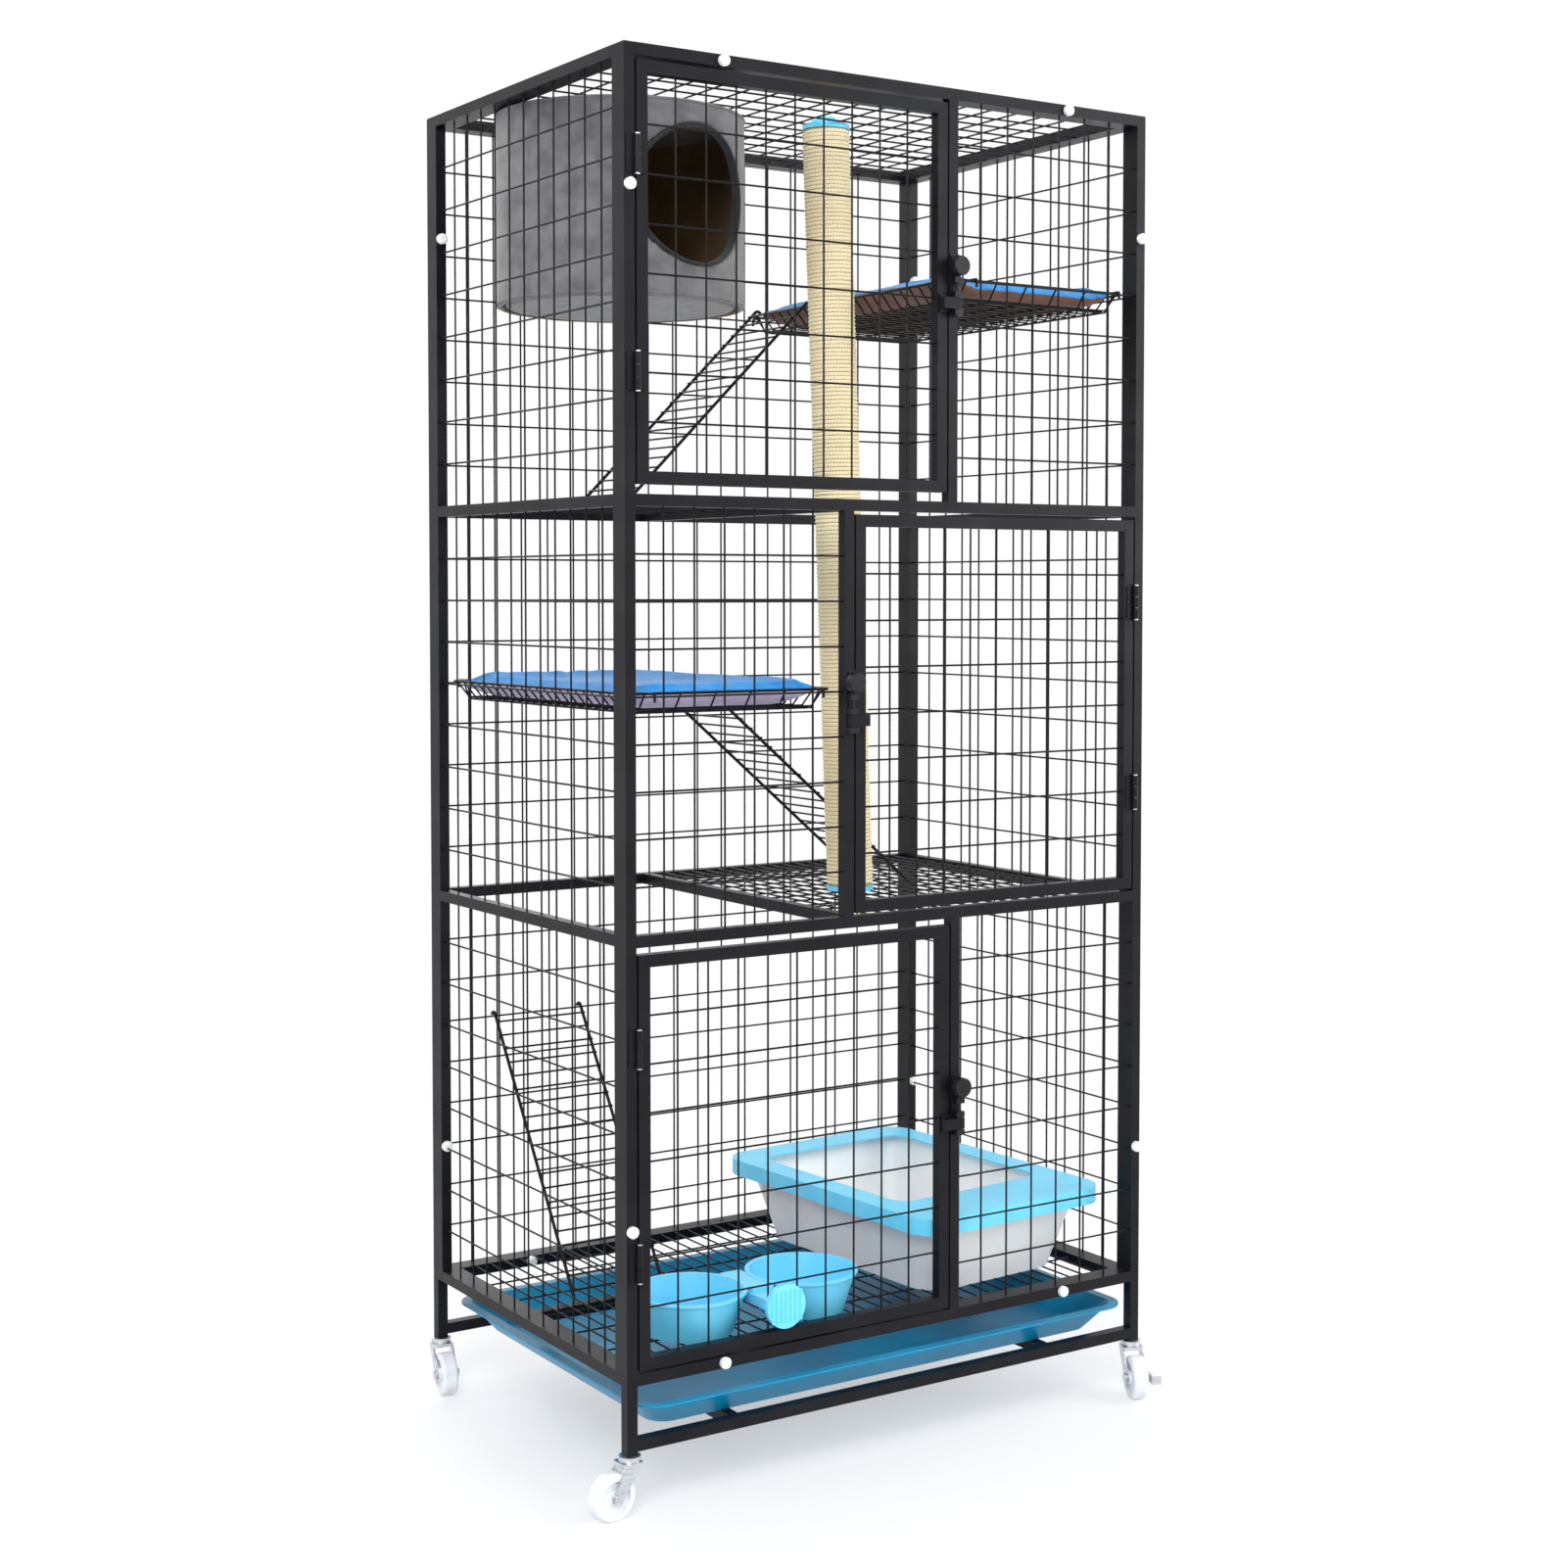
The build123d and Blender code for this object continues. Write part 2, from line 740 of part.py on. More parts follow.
# Wire shelves that hang by hooks over a level wire of the front and the rear net
shelf_front = inner_front + shelf_front_gap
shelf_back = shelf_front + shelf_depth
middle_shelf_left = inner_left + shelf_side_gap
upper_shelf_left = inner_right - shelf_side_gap - shelf_width
shelf_layout = {
    "middle": (middle_shelf_left, 1, front_net_spans[1]),
    "upper": (upper_shelf_left, 2, front_net_spans[2]),
}


def rim_height(shelf):
    """Z of the middle of a shelf's rim wire, which lies over a level wire of the nets."""
    return at_z(row_height(shelf_layout[shelf][1], shelf_mesh_row)) + mesh_wire / 2 + part_gap + hook_wire / 2


def sloping_side(origin, along, outward, length):
    """One sloping side of a shelf, from an edge of its base up to the rim."""
    rise = hypot(shelf_slope, shelf_drop)
    up = Vector(outward[0] * shelf_slope, outward[1] * shelf_slope, shelf_drop)
    plane = Plane(origin=origin, x_dir=along, z_dir=Vector(*along).cross(up))
    low = (-length / 2, 0)
    high = (length / 2, rise)
    mesh_sheet(plane.offset(-mesh_wire / 2), low, high, (shelf_pitch_along, rise), mesh_wire)


def shelf_hook(x, y, outward, net_y, z):
    """Hook from the rim over a net's level wire and down its far side."""
    far = net_y + outward * (mesh_wire / 2 + part_gap + hook_wire / 2)
    half = hook_wire / 2
    ys = sorted((y, far + outward * half))
    block((x - half, ys[0], z - half), (x + half, ys[1], z + half))
    block((x - half, far - half, z - hook_drop), (x + half, far + half, z + half))


for shelf, (left, tier, net_span) in shelf_layout.items():
    right = left + shelf_width
    z = rim_height(shelf)
    middle = ((left + right) / 2, (shelf_front + shelf_back) / 2)
    base_z = z - shelf_drop
    base_low = (left + shelf_slope, shelf_front + shelf_slope)
    base_high = (right - shelf_slope, shelf_back - shelf_slope)
    with BuildPart() as wire_shelf:
        base_pitches = (shelf_pitch_across, shelf_pitch_along)
        mesh_sheet(plane_z(base_z - mesh_wire / 2), base_low, base_high, base_pitches, mesh_wire)
        depth = base_high[1] - base_low[1]
        width = base_high[0] - base_low[0]
        sloping_side((base_low[0], middle[1], base_z), (0, 1, 0), (-1, 0), depth)
        sloping_side((base_high[0], middle[1], base_z), (0, 1, 0), (1, 0), depth)
        sloping_side((middle[0], base_low[1], base_z), (1, 0, 0), (0, -1), width)
        sloping_side((middle[0], base_high[1], base_z), (1, 0, 0), (0, 1), width)
        with BuildSketch(plane_z(z - shelf_rim / 2)):
            with Locations(middle):
                RectangleRounded(shelf_width, shelf_depth, 14)
                inner_size = (shelf_width - 2 * shelf_rim, shelf_depth - 2 * shelf_rim)
                RectangleRounded(*inner_size, 10, mode=Mode.SUBTRACT)
        extrude(amount=shelf_rim)
        hook_room = hook_wire / 2 + mesh_wire
        for wanted in (left + hook_inset, right - hook_inset):
            x = between_wires(*net_span, mesh_pitch_across, wanted, hook_room)
            shelf_hook(x, shelf_front + shelf_rim / 2, -1, front_post_y, z)
            x = between_wires(inner_left, inner_right, mesh_pitch_across, wanted, hook_room)
            shelf_hook(x, shelf_back - shelf_rim / 2, 1, rear_post_y, z)
    save(wire_shelf, shelf + "_shelf")

# Cushions in the shelves: rounded, crowned and drawn in along their sides
cushion_levels = ((0, 30), (0.25, 22), (0.5, 0), (0.72, 4), (0.9, 26), (1, 62))
cushion_corner = 26


def cushion_outline(plane, width, depth, draw, corner):
    """Rectangle with rounded corners and sides that bow inwards."""
    half_width, half_depth = width / 2, depth / 2
    step = corner * (1 - 0.5 ** 0.5)
    with BuildSketch(plane, mode=Mode.PRIVATE) as outline:
        with BuildLine():
            for turn in (1, -1):
                x, y = turn * half_width, turn * half_depth
                ends = ((-x + turn * corner, -y), (x - turn * corner, -y))
                ThreePointArc(ends[0], (0, -y + turn * draw), ends[1])
                ThreePointArc(ends[1], (x - turn * step, -y + turn * step), (x, -y + turn * corner))
                ThreePointArc((x, -y + turn * corner), (x - turn * draw, 0), (x, y - turn * corner))
                ThreePointArc((x, y - turn * corner), (x - turn * step, y - turn * step), (x - turn * corner, y))
        make_face()
    return outline.sketch.face()


for shelf, (left, _, _) in shelf_layout.items():
    middle = (left + shelf_width / 2, (shelf_front + shelf_back) / 2)
    seat = rim_height(shelf) - shelf_drop + mesh_wire / 2 + cushion_seat_gap
    levels = []
    for share, inset in cushion_levels:
        plane = Plane(origin=(middle[0], middle[1], seat + share * cushion_height))
        size = [side - 2 * (cushion_side_gap + inset) for side in (shelf_width, shelf_depth)]
        levels.append(cushion_outline(plane, *size, cushion_side_draw, cushion_corner))
    with BuildPart() as cushion:
        loft(levels, ruled=True)
    save(cushion, shelf + "_cushion")

# Ladders: two rails with rungs, hooked over a wire and resting on the floor below
hook_middle_radius = ladder_hook_inner + ladder_rail / 2
ladder_end_margin = 14
hook_turn = 130


def wire_ladder(hook, floor, away, across):
    """Ladder from the wire at a hook's place down to a floor.

    The hook is X, Y and Z of the wire's middle at the ladder's middle. Away is the level
    direction of the foot, and across is the direction of the rungs.
    """
    offset = hook_middle_radius - ladder_rail / 2
    steep = asin((hook[2] - floor - ladder_foot_gap) / hypot(ladder_length, offset)) + atan2(offset, ladder_length)
    down = Vector(away[0] * cos(steep), away[1] * cos(steep), -sin(steep))
    out = Vector(away[0] * sin(steep), away[1] * sin(steep), cos(steep))
    centre = Vector(*hook)
    sideways = Vector(*across)
    for side in (-1, 1):
        pivot = centre + sideways * (side * ladder_width / 2)
        top = pivot + out * hook_middle_radius
        with BuildSketch(Plane(origin=top, z_dir=down), mode=Mode.PRIVATE) as section:
            Circle(ladder_rail / 2)
        extrude(section.sketch, amount=ladder_length)
        revolve(section.sketch, axis=Axis(pivot, down.cross(out)), revolution_arc=hook_turn)
    rung_step = (ladder_length - 2 * ladder_end_margin) / (ladder_rungs - 1)
    start = centre - sideways * (ladder_width / 2 + ladder_rail / 2) + out * (hook_middle_radius + ladder_rail / 2)
    for i in range(ladder_rungs):
        place = start + down * (ladder_end_margin + i * rung_step)
        with BuildSketch(Plane(origin=place, z_dir=sideways), mode=Mode.PRIVATE) as rung:
            Circle(ladder_rung / 2)
        extrude(rung.sketch, amount=ladder_width + ladder_rail)


base_front = shelf_front + shelf_slope
base_back = shelf_back - shelf_slope


def shelf_ladder_y(back):
    """Y of a ladder's middle, so that its rails pass between a shelf's wires."""
    return cell_middle(base_front, base_back, shelf_pitch_along, at_y(back) - ladder_width / 2)


upper_hook = (upper_shelf_left + shelf_rim / 2, shelf_ladder_y(upper_ladder_back), rim_height("upper"))
middle_edge = middle_shelf_left + shelf_width - shelf_slope
middle_hook = (middle_edge, shelf_ladder_y(middle_ladder_back), rim_height("middle") - shelf_drop)
lower_hook_x = cell_middle(inner_left, inner_right, mesh_pitch_across, at_x(lower_ladder_left) + ladder_width / 2)
lower_hook = (lower_hook_x, rear_post_y, at_z(row_height(0, lower_ladder_row)))
ladder_layout = {
    "upper": (upper_hook, left_floor_top, (-1, 0), (0, 1, 0)),
    "middle": (middle_hook, right_floor_top, (1, 0), (0, 1, 0)),
    "lower": (lower_hook, floor_top, (0, -1), (1, 0, 0)),
}
for name, layout in ladder_layout.items():
    with BuildPart() as ladder:
        wire_ladder(*layout)
    save(ladder, name + "_ladder")

# Scratching post, which leans from the right half floor up to the roof
clamp_room = clamp_screw_radius + mesh_wire


def roof_place(place):
    """X and Y of a screw through the roof net, kept off its wires."""
    x = between_wires(flat_low[0], flat_high[0], mesh_pitch_across, at_x(place[0]), clamp_room)
    y = between_wires(flat_low[1], flat_high[1], mesh_pitch_across, at_y(place[1]), clamp_room)
    return x, y


post_foot = (at_x(sisal_foot[0]), at_y(sisal_foot[1]))
post_top = roof_place(sisal_top)
post_bottom_z = right_floor_top + part_gap
post_top_z = roof_net_z - part_gap
cap_height = 7
core_radius = sisal_radius - sisal_coat - 0.1


def post_place(z):
    """X and Y of the scratching post's middle at a height."""
    share = (z - post_bottom_z) / (post_top_z - post_bottom_z)
    return tuple(post_foot[i] + (post_top[i] - post_foot[i]) * share for i in (0, 1))


def leaning_tube(outer, inner, low, high):
    """Round tube between two heights of the scratching post, with level ends."""
    for radius, mode in ((outer, Mode.ADD), (inner, Mode.SUBTRACT)):
        if radius > 0:
            with BuildSketch(plane_z(low), mode=Mode.PRIVATE) as foot_circle:
                with Locations(post_place(low)):
                    Circle(radius)
            with BuildSketch(plane_z(high), mode=Mode.PRIVATE) as head_circle:
                with Locations(post_place(high)):
                    Circle(radius)
            loft([foot_circle.sketch.face(), head_circle.sketch.face()], mode=mode)


core_low = post_bottom_z + cap_height
core_high = post_top_z - cap_height
with BuildPart() as sisal_core:
    leaning_tube(core_radius, core_radius - core_wall, core_low, core_high)
save(sisal_core, "sisal_core")

with BuildPart() as sisal_wrap:
    leaning_tube(sisal_radius, sisal_radius - sisal_coat, core_low, core_high)
save(sisal_wrap, "sisal_wrap")

with BuildPart() as sisal_caps:
    leaning_tube(sisal_radius, 0, post_bottom_z, core_low)
    leaning_tube(sisal_radius, 0, core_high, post_top_z)
    leaning_tube(core_radius - core_wall - 0.1, 0, core_low, core_low + cap_height)
    leaning_tube(core_radius - core_wall - 0.1, 0, core_high - 3 * cap_height, core_high)
    screw_hole = clamp_screw_radius + running_clearance
    hole_low = post_top_z - clamp_screw_sink
    upright_cylinder(post_top, screw_hole, hole_low, post_top_z, mode=Mode.SUBTRACT)
save(sisal_caps, "sisal_caps")

# Hanging house: a round plush box under the roof with a round way in at the front
house_middle = roof_place(house_place)
house_low = at_z(house_bottom)
house_high = roof_net_z - part_gap
house_inner = house_radius - house_wall
hole_turn = radians(house_hole_turn)
hole_direction = (sin(hole_turn), -cos(hole_turn), 0)
hole_plane = Plane(origin=(*house_middle, at_z(house_hole_height)), z_dir=hole_direction)


def house_bore(radius, start, depth, mode):
    """Round bar along the way in, from a distance to the house's middle outwards."""
    with BuildSketch(hole_plane.offset(start), mode=Mode.PRIVATE) as outline:
        Circle(radius)
    extrude(outline.sketch, amount=depth, mode=mode)


with BuildPart() as house_wall_piece:
    upright_cylinder(house_middle, house_radius, house_low, house_high)
    upright_cylinder(house_middle, house_inner, house_low, house_high, mode=Mode.SUBTRACT)
    hole_radius = house_hole_radius + house_trim
    house_bore(hole_radius, 0, house_radius + 1, Mode.SUBTRACT)
save(house_wall_piece, "house_wall")

with BuildPart() as house_trim_ring:
    upright_cylinder(house_middle, house_radius + house_trim_proud, house_low, house_high)
    upright_cylinder(house_middle, house_inner, house_low, house_high, mode=Mode.SUBTRACT)
    house_bore(house_hole_radius + house_trim - 0.1, 0, house_radius + 2 * house_trim_proud, Mode.INTERSECT)
    house_bore(house_hole_radius, 0, house_radius + 2 * house_trim_proud, Mode.SUBTRACT)
save(house_trim_ring, "house_trim")

with BuildPart() as house_ends:
    for low in (house_low, house_high - house_wall):
        upright_cylinder(house_middle, house_inner - 0.1, low, low + house_wall)
    screw_low = house_high - house_wall
    upright_cylinder(house_middle, screw_hole, screw_low, house_high, mode=Mode.SUBTRACT)
save(house_ends, "house_ends")

# Clamp discs above the roof net, with screws down into the house and the scratching post
disc_low = roof_net_z + mesh_wire
with BuildPart() as roof_clamps:
    for place, sink in ((house_middle, house_wall), (post_top, clamp_screw_sink)):
        upright_cylinder(place, clamp_disc_radius, disc_low, disc_low + clamp_disc_height)
        nut_low = disc_low + clamp_disc_height
        upright_cylinder(place, clamp_nut_radius, nut_low, nut_low + clamp_nut_height)
        upright_cylinder(place, clamp_screw_radius, roof_net_z - part_gap - sink, disc_low)
save(roof_clamps, "roof_clamps")

# Litter pan on the floor net, and the rim that lifts off it
pan_flange = 2.5
pan_flange_gap = 1.5
pan_middle = (at_x(pan_place[0]), at_y(pan_place[1]))
pan_top_z = floor_top + pan_height


def pan_plane(z):
    """Level plane at the litter pan's middle, turned as the pan stands."""
    return Plane(origin=(*pan_middle, z)).rotated((0, 0, pan_turn))


def pan_solid(z_low, size_low, z_high, size_high, shrink, mode=Mode.ADD):
    """Block with rounded corners that widens from one level to another."""
    faces = []
    for z, size in ((z_low, size_low), (z_high, size_high)):
        with BuildSketch(pan_plane(z), mode=Mode.PRIVATE) as outline:
            RectangleRounded(size[0] - 2 * shrink, size[1] - 2 * shrink, pan_corner - shrink)
        faces.append(outline.sketch.face())
    loft(faces, mode=mode)


with BuildPart() as litter_pan_base:
    pan_solid(floor_top, pan_foot, pan_top_z, pan_top, 0)
    flange_size = [side - 2 * (rim_wall + pan_flange_gap) for side in pan_rim]
    pan_solid(pan_top_z - pan_flange, flange_size, pan_top_z, flange_size, 0)
    pan_solid(floor_top + pan_wall, pan_foot, pan_top_z, pan_top, pan_wall, mode=Mode.SUBTRACT)
save(litter_pan_base, "litter_pan_base")

with BuildPart() as litter_pan_rim:
    rim_low = pan_top_z + part_gap
    pan_solid(rim_low - rim_skirt, pan_rim, rim_low + rim_wall, pan_rim, 0)
    pan_solid(rim_low - rim_skirt, pan_rim, rim_low, pan_rim, rim_wall, mode=Mode.SUBTRACT)
    with BuildSketch(pan_plane(rim_low)):
        with Locations((0, rim_opening_shift)):
            RectangleRounded(*rim_opening, 30)
    extrude(amount=rim_wall, mode=Mode.SUBTRACT)
save(litter_pan_rim, "litter_pan_rim")

# Double bowl behind the bottom door's net, held by a clamp disc outside
left, right, bottom, top = door_box("bottom")
net_low_corner = (left + door_bar, bottom + door_bar)
net_high_corner = (right - door_bar, top - door_bar)
clamp_x = cell_middle(net_low_corner[0], net_high_corner[0], mesh_pitch_across, at_x(bowl_place))
clamp_z = cell_middle(net_low_corner[1], net_high_corner[1], mesh_pitch_up, at_z(bowl_floor + bowl_height / 2))
bowl_y = at_y(bowl_back)
bowl_low = at_z(bowl_floor)
bowl_top = bowl_low + bowl_height
bowl_xs = (clamp_x - bowl_spacing / 2, clamp_x + bowl_spacing / 2)
bowl_lip = 3


def cone(place, radius_low, z_low, radius_high, z_high, mode=Mode.ADD):
    """Round block that widens upwards."""
    faces = []
    for radius, z in ((radius_low, z_low), (radius_high, z_high)):
        with BuildSketch(plane_z(z), mode=Mode.PRIVATE) as outline:
            with Locations(place):
                Circle(radius)
        faces.append(outline.sketch.face())
    loft(faces, mode=mode)


net_inside_y = front_post_y + mesh_wire / 2 + part_gap
net_outside_y = front_post_y - mesh_wire / 2 - part_gap
stud_end_y = net_outside_y - clamp_height
with BuildPart() as double_bowl:
    for x in bowl_xs:
        cone((x, bowl_y), bowl_foot_radius, bowl_low, bowl_radius - bowl_lip, bowl_top)
        upright_cylinder((x, bowl_y), bowl_radius, bowl_top - bowl_lip, bowl_top)
    bridge_y, bridge_x = bowl_bridge
    bridge_low = (clamp_x - bridge_x / 2, bowl_y - bridge_y / 2, bowl_top - bowl_arm_height)
    block(bridge_low, (clamp_x + bridge_x / 2, bowl_y + bridge_y / 2, bowl_top - 1))
    arm_low = (clamp_x - bowl_arm_width / 2, net_inside_y, clamp_z - bowl_arm_height / 2)
    block(arm_low, (clamp_x + bowl_arm_width / 2, bowl_y, clamp_z + bowl_arm_height / 2))
    for x in bowl_xs:
        inner = (bowl_foot_radius - bowl_wall, bowl_low + bowl_wall, bowl_radius - bowl_lip - bowl_wall, bowl_top)
        cone((x, bowl_y), *inner, mode=Mode.SUBTRACT)
    with BuildSketch(plane_y(net_inside_y)):
        with Locations((clamp_x, clamp_z)):
            Circle(clamp_stud_radius)
    extrude(amount=net_inside_y - stud_end_y)
save(double_bowl, "double_bowl")

with BuildPart() as bowl_clamp:
    with BuildSketch(plane_y(net_outside_y)):
        with Locations((clamp_x, clamp_z)):
            Circle(clamp_radius)
            Circle(clamp_stud_radius + running_clearance, mode=Mode.SUBTRACT)
    extrude(amount=clamp_height)
    rib_length = 1.4 * clamp_radius
    with BuildSketch(plane_y(stud_end_y)):
        with Locations((clamp_x, clamp_z)):
            with GridLocations(2 * clamp_radius / (clamp_ribs + 1), 1, clamp_ribs, 1):
                Rectangle(2.5, rib_length)
    extrude(amount=2)
save(bowl_clamp, "bowl_clamp")

# Slide-out tray
tray_size = (cage_width - 2 * tube - 2 * tray_side_gap, cage_depth + tray_front_overhang - tray_back_gap)
tray_middle = (at_x(cage_width / 2), at_y(-tray_front_overhang) + tray_size[1] / 2)
tray_low = at_z(lower_rail_bottom + tube) + part_gap
tray_top = tray_low + tray_height


def tray_outline(z, inset, corner):
    """Level outline of the tray, drawn in from its rim."""
    with BuildSketch(plane_z(z), mode=Mode.PRIVATE) as outline:
        with Locations(tray_middle):
            RectangleRounded(tray_size[0] - 2 * inset, tray_size[1] - 2 * inset, corner)
    return outline.sketch.face()


with BuildPart() as tray:
    deep = tray_lip + tray_flare
    loft([tray_outline(tray_low, deep, tray_corner), tray_outline(tray_top, tray_lip, tray_corner)])
    lip_face = tray_outline(tray_top - tray_wall, 0, tray_corner + tray_lip)
    extrude(lip_face, amount=tray_wall)
    inside = (
        tray_outline(tray_low + tray_wall, deep + tray_wall, tray_corner - tray_wall),
        tray_outline(tray_top, tray_lip + tray_wall, tray_corner - tray_wall),
    )
    loft(inside, mode=Mode.SUBTRACT)
save(tray, "tray")

# Casters: a stem in the post, a fork that swivels on it and a wheel on the fork's axle
fork_top = foot_z - swivel_cap - part_gap
fork_plate_low = fork_top - swivel_plate
rivet_top = fork_plate_low - part_gap
cheek_inner = wheel_width / 2 + fork_side_gap
cheek_outer = cheek_inner + fork_plate
hub_half = cheek_inner - part_gap
wheel_recess = 4
wheel_rim = 9
axle_head_radius = 7
axle_head = 3
fork_back = 13
fork_front = 17
caster_places = {
    "front_left": (post_xs[0], front_post_y),
    "front_right": (post_xs[1], front_post_y),
    "rear_left": (post_xs[0], rear_post_y),
    "rear_right": (post_xs[1], rear_post_y),
}

with BuildPart() as caster_stems:
    for place in caster_places.values():
        upright_cylinder(place, swivel_radius, foot_z - swivel_cap, foot_z)
        upright_cylinder(place, stem_radius, rivet_top - rivet_height, foot_z + stem_length)
        upright_cylinder(place, rivet_radius, rivet_top - rivet_height, rivet_top)
save(caster_stems, "caster_stems")


def caster_side(name, across):
    """Upright plane along a caster's heading, at a distance to the right of its middle."""
    x, y = caster_places[name]
    forward = caster_heading(name)
    right_hand = (forward[1], -forward[0], 0)
    return Plane(origin=(x, y, 0), x_dir=(*forward, 0), z_dir=right_hand).offset(across)


def cross_bar(name, radius, start, end, mode=Mode.ADD):
    """Round bar along a caster's axle between two distances from its middle."""
    with BuildSketch(caster_side(name, start), mode=Mode.PRIVATE) as outline:
        with Locations((fork_trail, wheel_centre_z)):
            Circle(radius)
    extrude(outline.sketch, amount=end - start, mode=mode)


for name in caster_names:
    place = caster_places[name]
    x, y = place
    head_start = cheek_outer + part_gap
    if name in braked_casters:
        head_start += brake_plate + part_gap
    with BuildPart() as fork:
        level = Plane(origin=(x, y, fork_plate_low), x_dir=(*caster_heading(name), 0), z_dir=(0, 0, 1))
        with BuildSketch(level):
            with Locations(((fork_front - fork_back) / 2, 0)):
                RectangleRounded(fork_front + fork_back, 2 * cheek_outer, 5)
        extrude(amount=swivel_plate)
        for start in (cheek_inner, -cheek_outer):
            with BuildSketch(caster_side(name, start)):
                with Locations((fork_trail, wheel_centre_z)):
                    Circle(fork_boss)
                with Locations(((fork_front - fork_back) / 2, fork_plate_low + swivel_plate / 4)):
                    Rectangle(fork_front + fork_back - 10, swivel_plate / 2)
                make_hull()
            extrude(amount=fork_plate)
        upright_cylinder(place, stem_radius + running_clearance, fork_plate_low, fork_top, mode=Mode.SUBTRACT)
        cross_bar(name, axle_radius + running_clearance, -cheek_outer, cheek_outer, mode=Mode.SUBTRACT)
        plain_end = cheek_outer + part_gap
        cross_bar(name, axle_radius, -head_start, plain_end)
        cross_bar(name, axle_head_radius, plain_end, plain_end + axle_head)
        cross_bar(name, axle_head_radius, -head_start - axle_head, -head_start)
    save(fork, name + "_caster_fork")

    with BuildPart() as wheel:
        cross_bar(name, wheel_radius, -wheel_width / 2, wheel_width / 2)
        treads = wheel.edges().filter_by(GeomType.CIRCLE)
        fillet(treads, radius=wheel_fillet)
        for start in (-wheel_width / 2, wheel_width / 2 - wheel_recess):
            cross_bar(name, wheel_radius - wheel_rim, start, start + wheel_recess, mode=Mode.SUBTRACT)
        cross_bar(name, wheel_hub_radius, -hub_half, hub_half)
        cross_bar(name, axle_radius + running_clearance, -hub_half, hub_half, mode=Mode.SUBTRACT)
    save(wheel, name + "_caster_wheel")

# Brake levers beside two of the wheels
for name in braked_casters:
    brake_side = caster_side(name, -cheek_outer - part_gap)
    with BuildPart() as brake:
        with BuildSketch(brake_side):
            with Locations((fork_trail, wheel_centre_z)):
                Circle(axle_head_radius + 1)
                with Locations((brake_length / 2, brake_width / 4)):
                    Rectangle(brake_length, brake_width)
                Circle(axle_radius + running_clearance, mode=Mode.SUBTRACT)
        extrude(amount=-brake_plate)
        with BuildSketch(brake_side):
            with Locations((fork_trail + brake_length - brake_plate / 2, wheel_centre_z + brake_width / 4)):
                Rectangle(brake_plate, brake_width)
        extrude(amount=-brake_plate - brake_tab)
    save(brake, name + "_caster_brake")
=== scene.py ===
import json
import math
import bmesh
import bpy
import numpy as np
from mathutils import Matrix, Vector


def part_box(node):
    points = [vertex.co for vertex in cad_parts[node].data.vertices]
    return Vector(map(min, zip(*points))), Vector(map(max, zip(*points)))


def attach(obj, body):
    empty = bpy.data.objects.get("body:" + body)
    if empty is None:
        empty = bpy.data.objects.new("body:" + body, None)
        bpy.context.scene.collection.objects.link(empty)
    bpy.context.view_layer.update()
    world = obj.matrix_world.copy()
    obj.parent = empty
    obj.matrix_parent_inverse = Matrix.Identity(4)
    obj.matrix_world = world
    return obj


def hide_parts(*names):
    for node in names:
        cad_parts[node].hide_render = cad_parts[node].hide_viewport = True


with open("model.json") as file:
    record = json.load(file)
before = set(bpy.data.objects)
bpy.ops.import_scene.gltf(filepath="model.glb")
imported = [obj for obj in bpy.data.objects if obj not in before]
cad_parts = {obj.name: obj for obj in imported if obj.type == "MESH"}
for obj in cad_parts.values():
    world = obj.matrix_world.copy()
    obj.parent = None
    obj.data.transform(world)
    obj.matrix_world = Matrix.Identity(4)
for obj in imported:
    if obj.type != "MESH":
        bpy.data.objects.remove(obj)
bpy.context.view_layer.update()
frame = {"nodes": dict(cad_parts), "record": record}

nodes = frame["nodes"]

# Sizes of the cage, in metres, as the model's source has them
tube = 0.016
wire = 0.003
net_wire_radius = wire / 2 * 0.94
net_row_offset = wire / 2 * 0.8
tier_heights = ((0.109, 0.680), (0.696, 1.264), (1.280, 1.851))
mesh_pitch = (0.0465, 0.0625)
floor_pitch = (0.025, 0.091)
half_floor_pitch = (0.025, 0.050)
roof_pitch = (0.0465, 0.0465)
half_floor_edge = 0.364
mullions = (0.537, 0.350, 0.530)

post_low, post_high = [Vector(corner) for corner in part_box("corner_posts")]
cage_left, cage_front, foot = post_low
cage_right, cage_back = post_high.x, post_high.y


# Materials
def new_material(name):
    """Material with its Principled shader, ready for more nodes."""
    material = bpy.data.materials.new(name)
    material.use_nodes = True
    tree = material.node_tree
    return material, tree.nodes, tree.links, tree.nodes["Principled BSDF"]


def add_node(nodes_, kind, **values):
    """Shader node with its sockets set by name."""
    node = nodes_.new(kind)
    for socket, value in values.items():
        node.inputs[socket].default_value = value
    return node


def noise_on_object(nodes_, links, scale, detail=3.0, stretch=(1, 1, 1)):
    """Noise in the piece's own coordinates."""
    place = nodes_.new("ShaderNodeTexCoord")
    mapping = nodes_.new("ShaderNodeMapping")
    mapping.inputs["Scale"].default_value = stretch
    texture = add_node(nodes_, "ShaderNodeTexNoise", Scale=scale, Detail=detail)
    links.new(place.outputs["Object"], mapping.inputs["Vector"])
    links.new(mapping.outputs["Vector"], texture.inputs["Vector"])
    return texture


def colour_between(nodes_, links, factor, low, high, first, second):
    """Colour ramp between two colours over a span of a texture's value."""
    ramp = nodes_.new("ShaderNodeValToRGB")
    ramp.color_ramp.elements[0].position = first
    ramp.color_ramp.elements[1].position = second
    ramp.color_ramp.elements[0].color = (*low, 1)
    ramp.color_ramp.elements[1].color = (*high, 1)
    links.new(factor, ramp.inputs["Fac"])
    return ramp.outputs["Color"]


